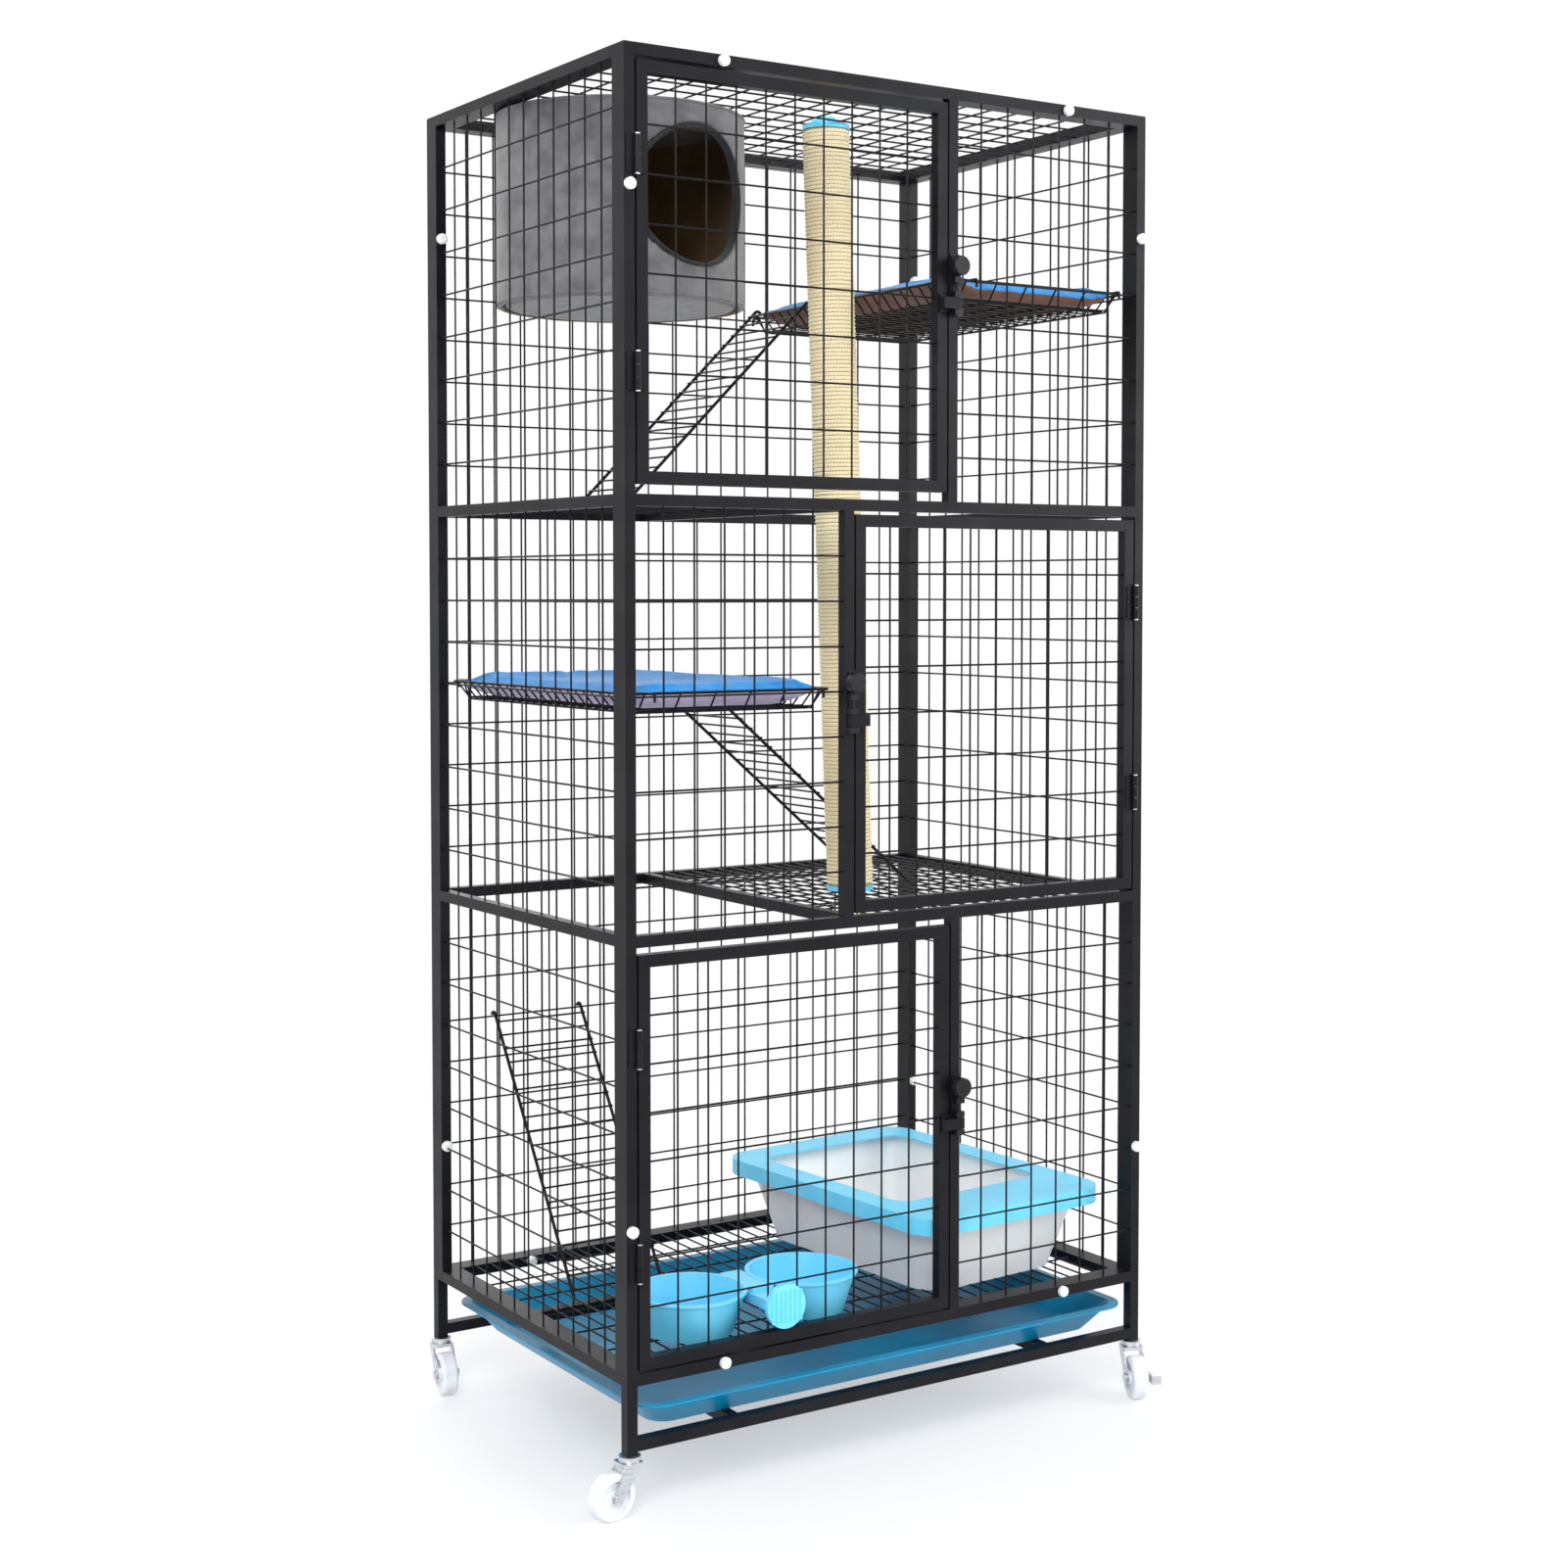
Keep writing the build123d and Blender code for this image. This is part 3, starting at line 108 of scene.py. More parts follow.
def finish(name, colour, worn, roughness, patch, grain, bump, stretch=(1, 1, 1), **shader):
    """Finish with patches of a second colour, uneven gloss and a fine grain."""
    material, nodes_, links, principled = new_material(name)
    patches = noise_on_object(nodes_, links, patch, 4.0, stretch)
    links.new(colour_between(nodes_, links, patches.outputs["Fac"], worn, colour, 0.3, 0.62),
              principled.inputs["Base Color"])
    gloss = add_node(nodes_, "ShaderNodeMapRange")
    gloss.inputs["To Min"].default_value = roughness[0]
    gloss.inputs["To Max"].default_value = roughness[1]
    links.new(patches.outputs["Fac"], gloss.inputs["Value"])
    links.new(gloss.outputs["Result"], principled.inputs["Roughness"])
    grains = noise_on_object(nodes_, links, grain, 2.0, stretch)
    relief = add_node(nodes_, "ShaderNodeBump", Strength=bump[0], Distance=bump[1])
    links.new(grains.outputs["Fac"], relief.inputs["Height"])
    links.new(relief.outputs["Normal"], principled.inputs["Normal"])
    for socket, value in shader.items():
        principled.inputs[socket.replace("_", " ")].default_value = value
    return material


def rope_finish(name, light, dark):
    """Twisted rope: its strands slant along the rope, from the rope's own map."""
    material, nodes_, links, principled = new_material(name)
    place = nodes_.new("ShaderNodeUVMap")
    place.uv_map = "rope"
    mapping = nodes_.new("ShaderNodeMapping")
    strands_a_metre, strand_slant = 190, 0.9
    mapping.inputs["Scale"].default_value = (strands_a_metre, 1, 1)
    mapping.inputs["Rotation"].default_value = (0, 0, strand_slant)
    strands = add_node(nodes_, "ShaderNodeTexWave", Scale=0.55, Distortion=1.6, Detail=2.0)
    links.new(place.outputs["UV"], mapping.inputs["Vector"])
    links.new(mapping.outputs["Vector"], strands.inputs["Vector"])
    fibres = noise_on_object(nodes_, links, 420, 4.0, (1, 1, 2.5))
    blend = nodes_.new("ShaderNodeMix")
    blend.inputs["Factor"].default_value = 0.5
    links.new(strands.outputs["Fac"], blend.inputs["A"])
    links.new(fibres.outputs["Fac"], blend.inputs["B"])
    links.new(colour_between(nodes_, links, blend.outputs["Result"], dark, light, 0.2, 0.55),
              principled.inputs["Base Color"])
    relief = add_node(nodes_, "ShaderNodeBump", Strength=0.7, Distance=0.0012)
    links.new(blend.outputs["Result"], relief.inputs["Height"])
    links.new(relief.outputs["Normal"], principled.inputs["Normal"])
    principled.inputs["Roughness"].default_value = 0.85
    return material


def pile_finish(name, colour, dark, clump, sheen):
    """Short pile, such as plush or fleece: brushed patches, fine fibres and a sheen."""
    return finish(name, colour, dark, (0.9, 0.98), clump, 900, (0.55, 0.0012),
                  Sheen_Weight=sheen, Sheen_Roughness=0.45, Specular_IOR_Level=0.15)


black_paint = finish("black_powder_coat", (0.005, 0.005, 0.007), (0.009, 0.009, 0.012), (0.32, 0.46), 14,
                     1400, (0.12, 0.0004), Specular_IOR_Level=0.16)
black_wire = finish("black_coated_wire", (0.004, 0.004, 0.005), (0.008, 0.008, 0.010), (0.34, 0.5), 22, 1700,
                    (0.1, 0.0003), Specular_IOR_Level=0.14)
zinc = finish("zinc_plate", (0.70, 0.72, 0.75), (0.52, 0.54, 0.58), (0.2, 0.42), 60, 900, (0.12, 0.0003),
              (1, 1, 5), Metallic=0.95)
black_plastic = finish("black_moulding", (0.006, 0.006, 0.008), (0.012, 0.012, 0.014), (0.3, 0.5), 40, 1200,
                       (0.1, 0.0003), Specular_IOR_Level=0.25)
white_plastic = finish("white_moulding", (0.84, 0.85, 0.86), (0.76, 0.77, 0.79), (0.22, 0.36), 50, 1200,
                       (0.05, 0.0003), Coat_Weight=0.2)
nylon = finish("white_nylon", (0.80, 0.82, 0.84), (0.68, 0.71, 0.75), (0.28, 0.48), 45, 900, (0.1, 0.0004),
               Subsurface_Weight=0.15, Subsurface_Scale=0.006)
light_blue = finish("light_blue_moulding", (0.17, 0.66, 0.93), (0.13, 0.60, 0.88), (0.3, 0.45), 16, 900,
                    (0.05, 0.0003), Subsurface_Weight=0.1, Subsurface_Scale=0.008, Specular_IOR_Level=0.35)
pan_white = finish("milky_moulding", (0.90, 0.91, 0.92), (0.84, 0.86, 0.88), (0.3, 0.45), 12, 800,
                   (0.06, 0.0004), Subsurface_Weight=0.25, Subsurface_Scale=0.01)
tray_blue = finish("blue_moulding", (0.004, 0.25, 0.46), (0.003, 0.20, 0.38), (0.28, 0.42), 9, 700,
                   (0.06, 0.0004), Specular_IOR_Level=0.3)
card = finish("card_tube", (0.42, 0.32, 0.2), (0.34, 0.25, 0.15), (0.8, 0.9), 60, 500, (0.2, 0.0004))
sisal = rope_finish("sisal_lay", (0.92, 0.82, 0.56), (0.66, 0.54, 0.31))
plush = pile_finish("grey_plush_pile", (0.185, 0.18, 0.185), (0.11, 0.107, 0.112), 34, 0.45)
lining = pile_finish("brown_lining", (0.15, 0.095, 0.035), (0.10, 0.06, 0.02), 18, 0.2)
binding = pile_finish("dark_cloth_binding", (0.03, 0.035, 0.04), (0.02, 0.022, 0.026), 90, 0.2)
blue_fleece = pile_finish("blue_fleece", (0.010, 0.29, 0.74), (0.006, 0.22, 0.62), 34, 0.35)
brown_fleece = pile_finish("brown_fleece", (0.17, 0.075, 0.045), (0.12, 0.05, 0.03), 34, 0.35)
lilac_fleece = pile_finish("lilac_fleece", (0.46, 0.40, 0.56), (0.38, 0.32, 0.49), 34, 0.35)

slot_finish = {
    "black_paint": black_paint,
    "black_wire": black_wire,
    "zinc": zinc,
    "black_plastic": black_plastic,
    "white_plastic": white_plastic,
    "wheel_nylon": nylon,
    "light_blue_plastic": light_blue,
    "pan_white": pan_white,
    "blue_plastic": tray_blue,
    "card": card,
}
slot_of = {row["node"]: row["material_slot"] for row in frame["record"]["subparts"]}
for node_name, node_object in nodes.items():
    if slot_of[node_name] in slot_finish:
        node_object.data.materials.clear()
        node_object.data.materials.append(slot_finish[slot_of[node_name]])


# Camera, light and floor
camera_yaw, camera_pitch = math.radians(33.13), math.radians(-2.303)
camera = bpy.data.objects.new("camera", bpy.data.cameras.new("camera"))
bpy.context.scene.collection.objects.link(camera)
camera.location = (-1.9249, -2.9612, 1.2330)
camera.rotation_euler = (math.pi / 2 + camera_pitch, 0, -camera_yaw)
camera.data.lens = 53.70
camera.data.sensor_width = 36
camera.data.shift_y = -0.063
bpy.context.scene.camera = camera
bpy.context.scene.view_settings.view_transform = "Standard"


def soft_lamp(name, place, target, size, watts):
    """Square area lamp aimed at a point."""
    lamp = bpy.data.lights.new(name, "AREA")
    lamp.size = size
    lamp.energy = watts
    lamp_object = bpy.data.objects.new(name, lamp)
    bpy.context.scene.collection.objects.link(lamp_object)
    lamp_object.location = place
    aim = Vector(target) - Vector(place)
    lamp_object.rotation_euler = aim.to_track_quat("-Z", "Y").to_euler()


soft_lamp("key", (-2.6, -3.2, 3.4), (0, 0, 1.0), 2.4, 150)
soft_lamp("fill", (3.2, -2.4, 2.2), (0, 0, 0.9), 2.6, 75)
soft_lamp("back", (0.4, 3.6, 3.0), (0, 0, 1.1), 2.6, 60)


def seen_directly(nodes_, links):
    """1 for rays from the camera and for what shows in gloss and glass."""
    path = nodes_.new("ShaderNodeLightPath")
    total = path.outputs["Is Camera Ray"]
    for output in ("Is Glossy Ray", "Is Transmission Ray"):
        pick = nodes_.new("ShaderNodeMath")
        pick.operation = "MAXIMUM"
        links.new(total, pick.inputs[0])
        links.new(path.outputs[output], pick.inputs[1])
        total = pick.outputs["Value"]
    return total


world = bpy.data.worlds.new("studio")
bpy.context.scene.world = world
world.use_nodes = True
sky, sky_links = world.node_tree.nodes, world.node_tree.links
room_light = sky["Background"]
room_light.inputs["Color"].default_value = (1, 1, 1, 1)
room_light.inputs["Strength"].default_value = 0.85
backdrop = add_node(sky, "ShaderNodeBackground", Color=(1, 1, 1, 1), Strength=1.0)
choose = sky.new("ShaderNodeMixShader")
sky_links.new(seen_directly(sky, sky_links), choose.inputs["Fac"])
sky_links.new(room_light.outputs["Background"], choose.inputs[1])
sky_links.new(backdrop.outputs["Background"], choose.inputs[2])
sky_links.new(choose.outputs["Shader"], sky["World Output"].inputs["Surface"])

floor_material, floor_nodes, floor_links, floor_shader = new_material("studio_floor")
floor_shader.inputs["Base Color"].default_value = (0.88, 0.89, 0.91, 1)
floor_shader.inputs["Roughness"].default_value = 0.55
floor_glow = add_node(floor_nodes, "ShaderNodeEmission", Color=(1, 1, 1, 1), Strength=1.0)
floor_mix = floor_nodes.new("ShaderNodeMixShader")
floor_part = floor_nodes.new("ShaderNodeMath")
floor_part.operation = "MULTIPLY"
floor_place = floor_nodes.new("ShaderNodeTexCoord")
floor_reach = floor_nodes.new("ShaderNodeVectorMath")
floor_reach.operation = "LENGTH"
floor_fade = floor_nodes.new("ShaderNodeMapRange")
floor_fade.inputs["From Min"].default_value = 0.6
floor_fade.inputs["From Max"].default_value = 2.2
floor_fade.inputs["To Min"].default_value = 0.5
floor_fade.inputs["To Max"].default_value = 1.0
floor_links.new(floor_place.outputs["Object"], floor_reach.inputs[0])
floor_links.new(floor_reach.outputs["Value"], floor_fade.inputs["Value"])
floor_links.new(floor_fade.outputs["Result"], floor_part.inputs[1])
floor_links.new(seen_directly(floor_nodes, floor_links), floor_part.inputs[0])
floor_links.new(floor_part.outputs["Value"], floor_mix.inputs["Fac"])
floor_links.new(floor_shader.outputs["BSDF"], floor_mix.inputs[1])
floor_links.new(floor_glow.outputs["Emission"], floor_mix.inputs[2])
floor_links.new(floor_mix.outputs["Shader"], floor_nodes["Material Output"].inputs["Surface"])
floor_mesh = bpy.data.meshes.new("floor")
floor_half = 12
floor_mesh.from_pydata([(-floor_half, -floor_half, 0), (floor_half, -floor_half, 0),
                        (floor_half, floor_half, 0), (-floor_half, floor_half, 0)], [], [(0, 1, 2, 3)])
floor_mesh.materials.append(floor_material)
floor_object = bpy.data.objects.new("floor", floor_mesh)
bpy.context.scene.collection.objects.link(floor_object)


# Pieces
def add_piece(name, mesh, body, replaced=()):
    """Shown piece with its body and the nodes it stands for."""
    piece = bpy.data.objects.new(name, mesh)
    bpy.context.scene.collection.objects.link(piece)
    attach(piece, body)
    if replaced:
        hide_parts(*replaced)
    return piece


def group_input(tree, name, kind):
    """Named input of a geometry tree."""
    return tree.interface.new_socket(name, in_out="INPUT", socket_type="NodeSocket" + kind)


def wire_row_tree():
    """Geometry tree for a row of straight round wires, side by side."""
    tree = bpy.data.node_groups.new("wire_row", "GeometryNodeTree")
    for name, kind in (("Start", "Vector"), ("Step", "Vector"), ("Length", "Vector"), ("Count", "Int"),
                       ("Radius", "Float"), ("Sides", "Int"), ("Material", "Material")):
        group_input(tree, name, kind)
    tree.interface.new_socket("Wires", in_out="OUTPUT", socket_type="NodeSocketGeometry")
    made, links = tree.nodes, tree.links
    given = made.new("NodeGroupInput")
    places = made.new("GeometryNodeMeshLine")
    places.mode = "OFFSET"
    line = made.new("GeometryNodeCurvePrimitiveLine")
    circle = made.new("GeometryNodeCurvePrimitiveCircle")
    body = made.new("GeometryNodeCurveToMesh")
    body.inputs["Fill Caps"].default_value = True
    copies = made.new("GeometryNodeInstanceOnPoints")
    real = made.new("GeometryNodeRealizeInstances")
    painted = made.new("GeometryNodeSetMaterial")
    out = made.new("NodeGroupOutput")
    for source, target in (
        (given.outputs["Start"], places.inputs["Start Location"]),
        (given.outputs["Step"], places.inputs["Offset"]),
        (given.outputs["Count"], places.inputs["Count"]),
        (given.outputs["Length"], line.inputs["End"]),
        (given.outputs["Radius"], circle.inputs["Radius"]),
        (given.outputs["Sides"], circle.inputs["Resolution"]),
        (line.outputs["Curve"], body.inputs["Curve"]),
        (circle.outputs["Curve"], body.inputs["Profile Curve"]),
        (places.outputs["Mesh"], copies.inputs["Points"]),
        (body.outputs["Mesh"], copies.inputs["Instance"]),
        (copies.outputs["Instances"], real.inputs["Geometry"]),
        (real.outputs["Geometry"], painted.inputs["Geometry"]),
        (given.outputs["Material"], painted.inputs["Material"]),
        (painted.outputs["Geometry"], out.inputs["Wires"]),
    ):
        links.new(source, target)
    return tree


wire_rows = wire_row_tree()
row_inputs = [item for item in wire_rows.interface.items_tree if item.in_out == "INPUT"]
row_sockets = {item.name: item.identifier for item in row_inputs}


def row_mesh(start, step, count, length, radius, material, sides=8):
    """Plain mesh of one row of wires."""
    holder = bpy.data.objects.new("row", bpy.data.meshes.new("row"))
    bpy.context.scene.collection.objects.link(holder)
    rows = holder.modifiers.new("rows", "NODES")
    rows.node_group = wire_rows
    values = {"Start": start, "Step": step, "Length": length, "Count": count, "Radius": radius,
              "Sides": sides, "Material": material}
    for name, value in values.items():
        rows[row_sockets[name]] = tuple(value) if isinstance(value, Vector) else value
    seen = holder.evaluated_get(bpy.context.evaluated_depsgraph_get())
    mesh = bpy.data.meshes.new_from_object(seen)
    bpy.data.objects.remove(holder)
    return mesh


def joined(name, meshes, smooth=True):
    """One mesh of several, with their materials."""
    whole = bmesh.new()
    materials = []
    for mesh in meshes:
        start = len(whole.faces)
        whole.from_mesh(mesh)
        whole.faces.ensure_lookup_table()
        for face in whole.faces[start:]:
            material = mesh.materials[face.material_index] if mesh.materials else None
            if material not in materials:
                materials.append(material)
            face.material_index = materials.index(material)
            face.smooth = smooth
        bpy.data.meshes.remove(mesh)
    result = bpy.data.meshes.new(name)
    whole.to_mesh(result)
    whole.free()
    for material in materials:
        result.materials.append(material)
    return result


def cell_count(length, pitch):
    """Whole number of mesh cells that fills a length."""
    return max(1, round(length / pitch))


def welded_net(corner, across, up, pitches, inward):
    """Two crossing rows of wires between a corner and its opposite one, with none along the frame."""
    meshes = []
    shift = Vector(inward) * net_row_offset
    for along, beside, pitch, side in ((up, across, pitches[0], shift), (across, up, pitches[1], -shift)):
        count = cell_count(beside.length, pitch)
        step = beside / count
        meshes.append(row_mesh(corner + side + step, step, count - 1, along, net_wire_radius, black_wire))
    return meshes


def tier_nets(spans, y_or_x, along_x=True):
    """Nets of upright panels, one in each tier, between two places along the panel."""
    meshes = []
    for (low, high), (bottom, top) in zip(spans, tier_heights):
        height = Vector((0, 0, top - bottom))
        if along_x:
            corner = Vector((low, y_or_x, foot + bottom))
            across = Vector((high - low, 0, 0))
            inward = (0, 1, 0)
        else:
            corner = Vector((y_or_x, low, foot + bottom))
            across = Vector((0, high - low, 0))
            inward = (1, 0, 0)
        meshes += welded_net(corner, across, height, mesh_pitch, inward)
    return meshes


inner_left, inner_right = cage_left + tube, cage_right - tube
front_spans = (
    (cage_left + mullions[0] + tube, inner_right),
    (inner_left, cage_left + mullions[1]),
    (cage_left + mullions[2] + tube, inner_right),
)
front_wires_y = cage_front + tube / 2
back_wires_y = cage_back - tube / 2
add_piece("front_mesh", joined("front_mesh", tier_nets(front_spans, front_wires_y)), "root",
          ["front_nets"])
back_spans = ((inner_left, inner_right),) * 3
add_piece("back_mesh", joined("back_mesh", tier_nets(back_spans, back_wires_y)), "root",
          ["back_nets"])
side_spans = ((cage_front + 2 * tube, cage_back - 2 * tube),) * 3
side_meshes = tier_nets(side_spans, cage_left + tube / 2, False)
side_meshes += tier_nets(side_spans, cage_right - tube / 2, False)
add_piece("side_mesh", joined("side_mesh", side_meshes), "root", ["side_nets"])


def level_net(low, high, z, pitches):
    """Level net between two corners at a height."""
    corner = Vector((low[0], low[1], z))
    across = Vector((high[0] - low[0], 0, 0))
    back = Vector((0, high[1] - low[1], 0))
    return welded_net(corner, across, back, pitches, (0, 0, 1))


roof_low, roof_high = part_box("roof_net")
roof_mesh = level_net(roof_low, roof_high, (roof_low[2] + roof_high[2]) / 2, roof_pitch)
add_piece("roof_mesh", joined("roof_mesh", roof_mesh), "root", ["roof_net"])

floor_wires_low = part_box("floor_nets")[0][2]
flat_low = (cage_left + 2 * tube, cage_front + 2 * tube)
flat_high = (cage_right - 2 * tube, cage_back - 2 * tube)
half_floor_sink = 0.002
half_floor_rise = tube - wire - half_floor_sink + wire / 2
floor_meshes = level_net(flat_low, flat_high, floor_wires_low + wire / 2, floor_pitch)
right_low = (cage_left + half_floor_edge + tube, cage_front + tube)
right_z = foot + tier_heights[0][1] + half_floor_rise
floor_meshes += level_net(right_low, (inner_right, cage_back - tube), right_z, half_floor_pitch)
left_z = foot + tier_heights[1][1] + half_floor_rise
left_low = (inner_left, cage_front + tube)
left_high = (cage_left + half_floor_edge, cage_back - tube)
floor_meshes += level_net(left_low, left_high, left_z, half_floor_pitch)
add_piece("floor_mesh", joined("floor_mesh", floor_meshes), "root", ["floor_nets"])

for door in ("top", "middle", "bottom"):
    low, high = [Vector(corner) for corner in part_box(door + "_door_net")]
    corner = Vector((low.x, front_wires_y, low.z))
    across = Vector((high.x - low.x, 0, 0))
    up = Vector((0, 0, high.z - low.z))
    door_meshes = welded_net(corner, across, up, mesh_pitch, (0, 1, 0))
    add_piece(door + "_door_mesh", joined(door + "_door_mesh", door_meshes), door + "_door",
              [door + "_door_net"])


# Shelves: basket of round wires with a rim, hung by hooks
def bent_wire(points, radius, material, closed=False):
    """Round wire through a list of points."""
    curve = bpy.data.curves.new("bent_wire", "CURVE")
    curve.dimensions = "3D"
    curve.bevel_depth = radius
    curve.bevel_resolution = 2
    curve.use_fill_caps = not closed
    spline = curve.splines.new("POLY")
    spline.points.add(len(points) - 1)
    for point, place in zip(spline.points, points):
        point.co = (*place, 1)
    spline.use_cyclic_u = closed
    curve.materials.append(material)
    holder = bpy.data.objects.new("bent_wire", curve)
    bpy.context.scene.collection.objects.link(holder)
    seen = holder.evaluated_get(bpy.context.evaluated_depsgraph_get())
    mesh = bpy.data.meshes.new_from_object(seen)
    bpy.data.objects.remove(holder)
    return mesh


def rounded_loop(low, high, z, corner, steps=5):
    """Points of a level rectangle with rounded corners."""
    points = []
    for x, y, start in ((high[0] - corner, high[1] - corner, 0), (low[0] + corner, high[1] - corner, 90),
                        (low[0] + corner, low[1] + corner, 180), (high[0] - corner, low[1] + corner, 270)):
        for i in range(steps + 1):
            angle = math.radians(start + 90 * i / steps)
            points.append(Vector((x + corner * math.cos(angle), y + corner * math.sin(angle), z)))
    return points


shelf_size = (0.324, 0.562)
shelf_slope, shelf_drop = 0.022, 0.024
shelf_gap = 0.004
shelf_front = cage_front + tube + shelf_gap
shelf_lefts = {"middle": inner_left + shelf_gap, "upper": inner_right - shelf_gap - shelf_size[0]}
rim_wire = 0.002
basket_wire = 0.0014
ring_wire = rim_wire * 0.85
ring_drop = basket_wire * 1.6
rim_corner = 0.014
ring_corner = 0.012
basket_gap = 0.024
basket_cross_gap = 0.060


def basket_meshes(left, front, rim_z):
    """Wires of a shelf: a rim, a floor ring and wires bent up to the rim on both sides."""
    right, back = left + shelf_size[0], front + shelf_size[1]
    floor_z = rim_z - shelf_drop
    inset = rim_wire
    rim = rounded_loop((left + inset, front + inset), (right - inset, back - inset), rim_z, rim_corner)
    meshes = [bent_wire(rim, rim_wire, black_wire, True)]
    ring = rounded_loop((left + shelf_slope, front + shelf_slope), (right - shelf_slope, back - shelf_slope),
                        floor_z - ring_drop, ring_corner)
    meshes.append(bent_wire(ring, ring_wire, black_wire, True))
    depth = shelf_size[1] - 2 * shelf_slope
    count = cell_count(depth, basket_gap)
    for i in range(count + 1):
        y = front + shelf_slope + depth * i / count
        meshes.append(bent_wire([(left + inset, y, rim_z), (left + shelf_slope, y, floor_z),
                                 (right - shelf_slope, y, floor_z), (right - inset, y, rim_z)],
                                basket_wire, black_wire))
    width = shelf_size[0] - 2 * shelf_slope
    count = cell_count(width, basket_cross_gap)
    for i in range(count + 1):
        x = left + shelf_slope + width * i / count
        low_z = floor_z - 2 * basket_wire
        meshes.append(bent_wire([(x, front + inset, rim_z), (x, front + shelf_slope, low_z),
                                 (x, back - shelf_slope, low_z), (x, back - inset, rim_z)],
                                basket_wire, black_wire))
    return meshes


hook_inset = 0.027
hook_drop = 0.011
hook_radius = 0.002
hook_bend = 0.002
hook_room = 0.005
hook_gap = 0.0003


def between_wires(low, high, pitch, wanted, room):
    """Place nearest to the wanted one that lies at least some room from every wire of a net."""
    count = cell_count(high - low, pitch)
    cell = (high - low) / count
    index = min(max(int((wanted - low) // cell), 0), count - 1)
    first = low + index * cell
    return min(max(wanted, first + room), first + cell - room)


for shelf, tier in (("middle", 1), ("upper", 2)):
    left = shelf_lefts[shelf]
    rim_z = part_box(shelf + "_shelf")[1][2] - rim_wire
    meshes = basket_meshes(left, shelf_front, rim_z)
    net_span = front_spans[tier]
    for wanted in (left + hook_inset, left + shelf_size[0] - hook_inset):
        for span, start_y, net_y, outward in (
            (net_span, shelf_front + rim_wire, front_wires_y, -1),
            ((inner_left, inner_right), shelf_front + shelf_size[1] - rim_wire, back_wires_y, 1),
        ):
            x = between_wires(span[0], span[1], mesh_pitch[0], wanted, hook_room)
            far = net_y + outward * (wire / 2 + hook_gap + hook_radius)
            bend = [(x, start_y, rim_z)]
            for angle in (90, 60, 30, 0):
                turn = math.radians(angle)
                out = hook_bend * (1 - math.cos(turn))
                bend.append((x, far - outward * out, rim_z - hook_bend * (1 - math.sin(turn))))
            bend.append((x, far, rim_z - hook_drop))
            meshes.append(bent_wire(bend, hook_radius, black_wire))
    add_piece(shelf + "_basket", joined(shelf + "_basket", meshes), "root", [shelf + "_shelf"])


# Cushions: fleece pads that swell in a cloth simulation, curled up along the basket's rim
pad_thickness = 0.019
pad_margin = 0.011
pad_draw = 0.007
curl_reach = 0.07
seam_reach = 0.012
ripple_height = 0.0016


def pad_mesh(name, low, high, base_z, curls):
    """Closed pad with drawn-in sides. Curls are the rises of its left, right, front and back edges."""
    across, along = 22, 38
    half = Vector(((high[0] - low[0]) / 2, (high[1] - low[1]) / 2))
    middle = Vector(((high[0] + low[0]) / 2, (high[1] + low[1]) / 2))
    vertices, faces = [], []

    def place(i, j, top):
        u, v = 2 * i / across - 1, 2 * j / along - 1
        x = u * (half.x - pad_draw * (1 - v * v))
        y = v * (half.y - pad_draw * (1 - u * u))
        edge = min(half.x * (1 - abs(u)), half.y * (1 - abs(v)))
        rise = 0.0
        reaches = (half.x * (1 + u), half.x * (1 - u), half.y * (1 + v), half.y * (1 - v))
        for curl, reach in zip(curls, reaches):
            rise = max(rise, curl * max(0.0, 1 - reach / curl_reach) ** 1.6)
        ripple = ripple_height * math.sin(23 * u + 2 * v) * math.sin(9 * v - 3 * u)
        puff = pad_thickness * (1 - 0.75 * math.exp(-edge / seam_reach)) + ripple
        return (middle.x + x, middle.y + y, base_z + rise + (puff if top else 0))

    index = {}
    for top in (False, True):
        for i in range(across + 1):
            for j in range(along + 1):
                index[(i, j, top)] = len(vertices)
                vertices.append(place(i, j, top))
    for i in range(across):
        for j in range(along):
            corners = ((i, j), (i + 1, j), (i + 1, j + 1), (i, j + 1))
            faces.append([index[(*c, True)] for c in corners])
            faces.append([index[(*c, False)] for c in reversed(corners)])
    rim = [(i, 0) for i in range(across)] + [(across, j) for j in range(along)]
    rim += [(i, along) for i in range(across, 0, -1)] + [(0, j) for j in range(along, 0, -1)]
    for first, second in zip(rim, rim[1:] + rim[:1]):
        below = [index[(*first, False)], index[(*second, False)]]
        faces.append(below + [index[(*second, True)], index[(*first, True)]])
    mesh = bpy.data.meshes.new(name)
    mesh.from_pydata(vertices, [], faces)
    return mesh


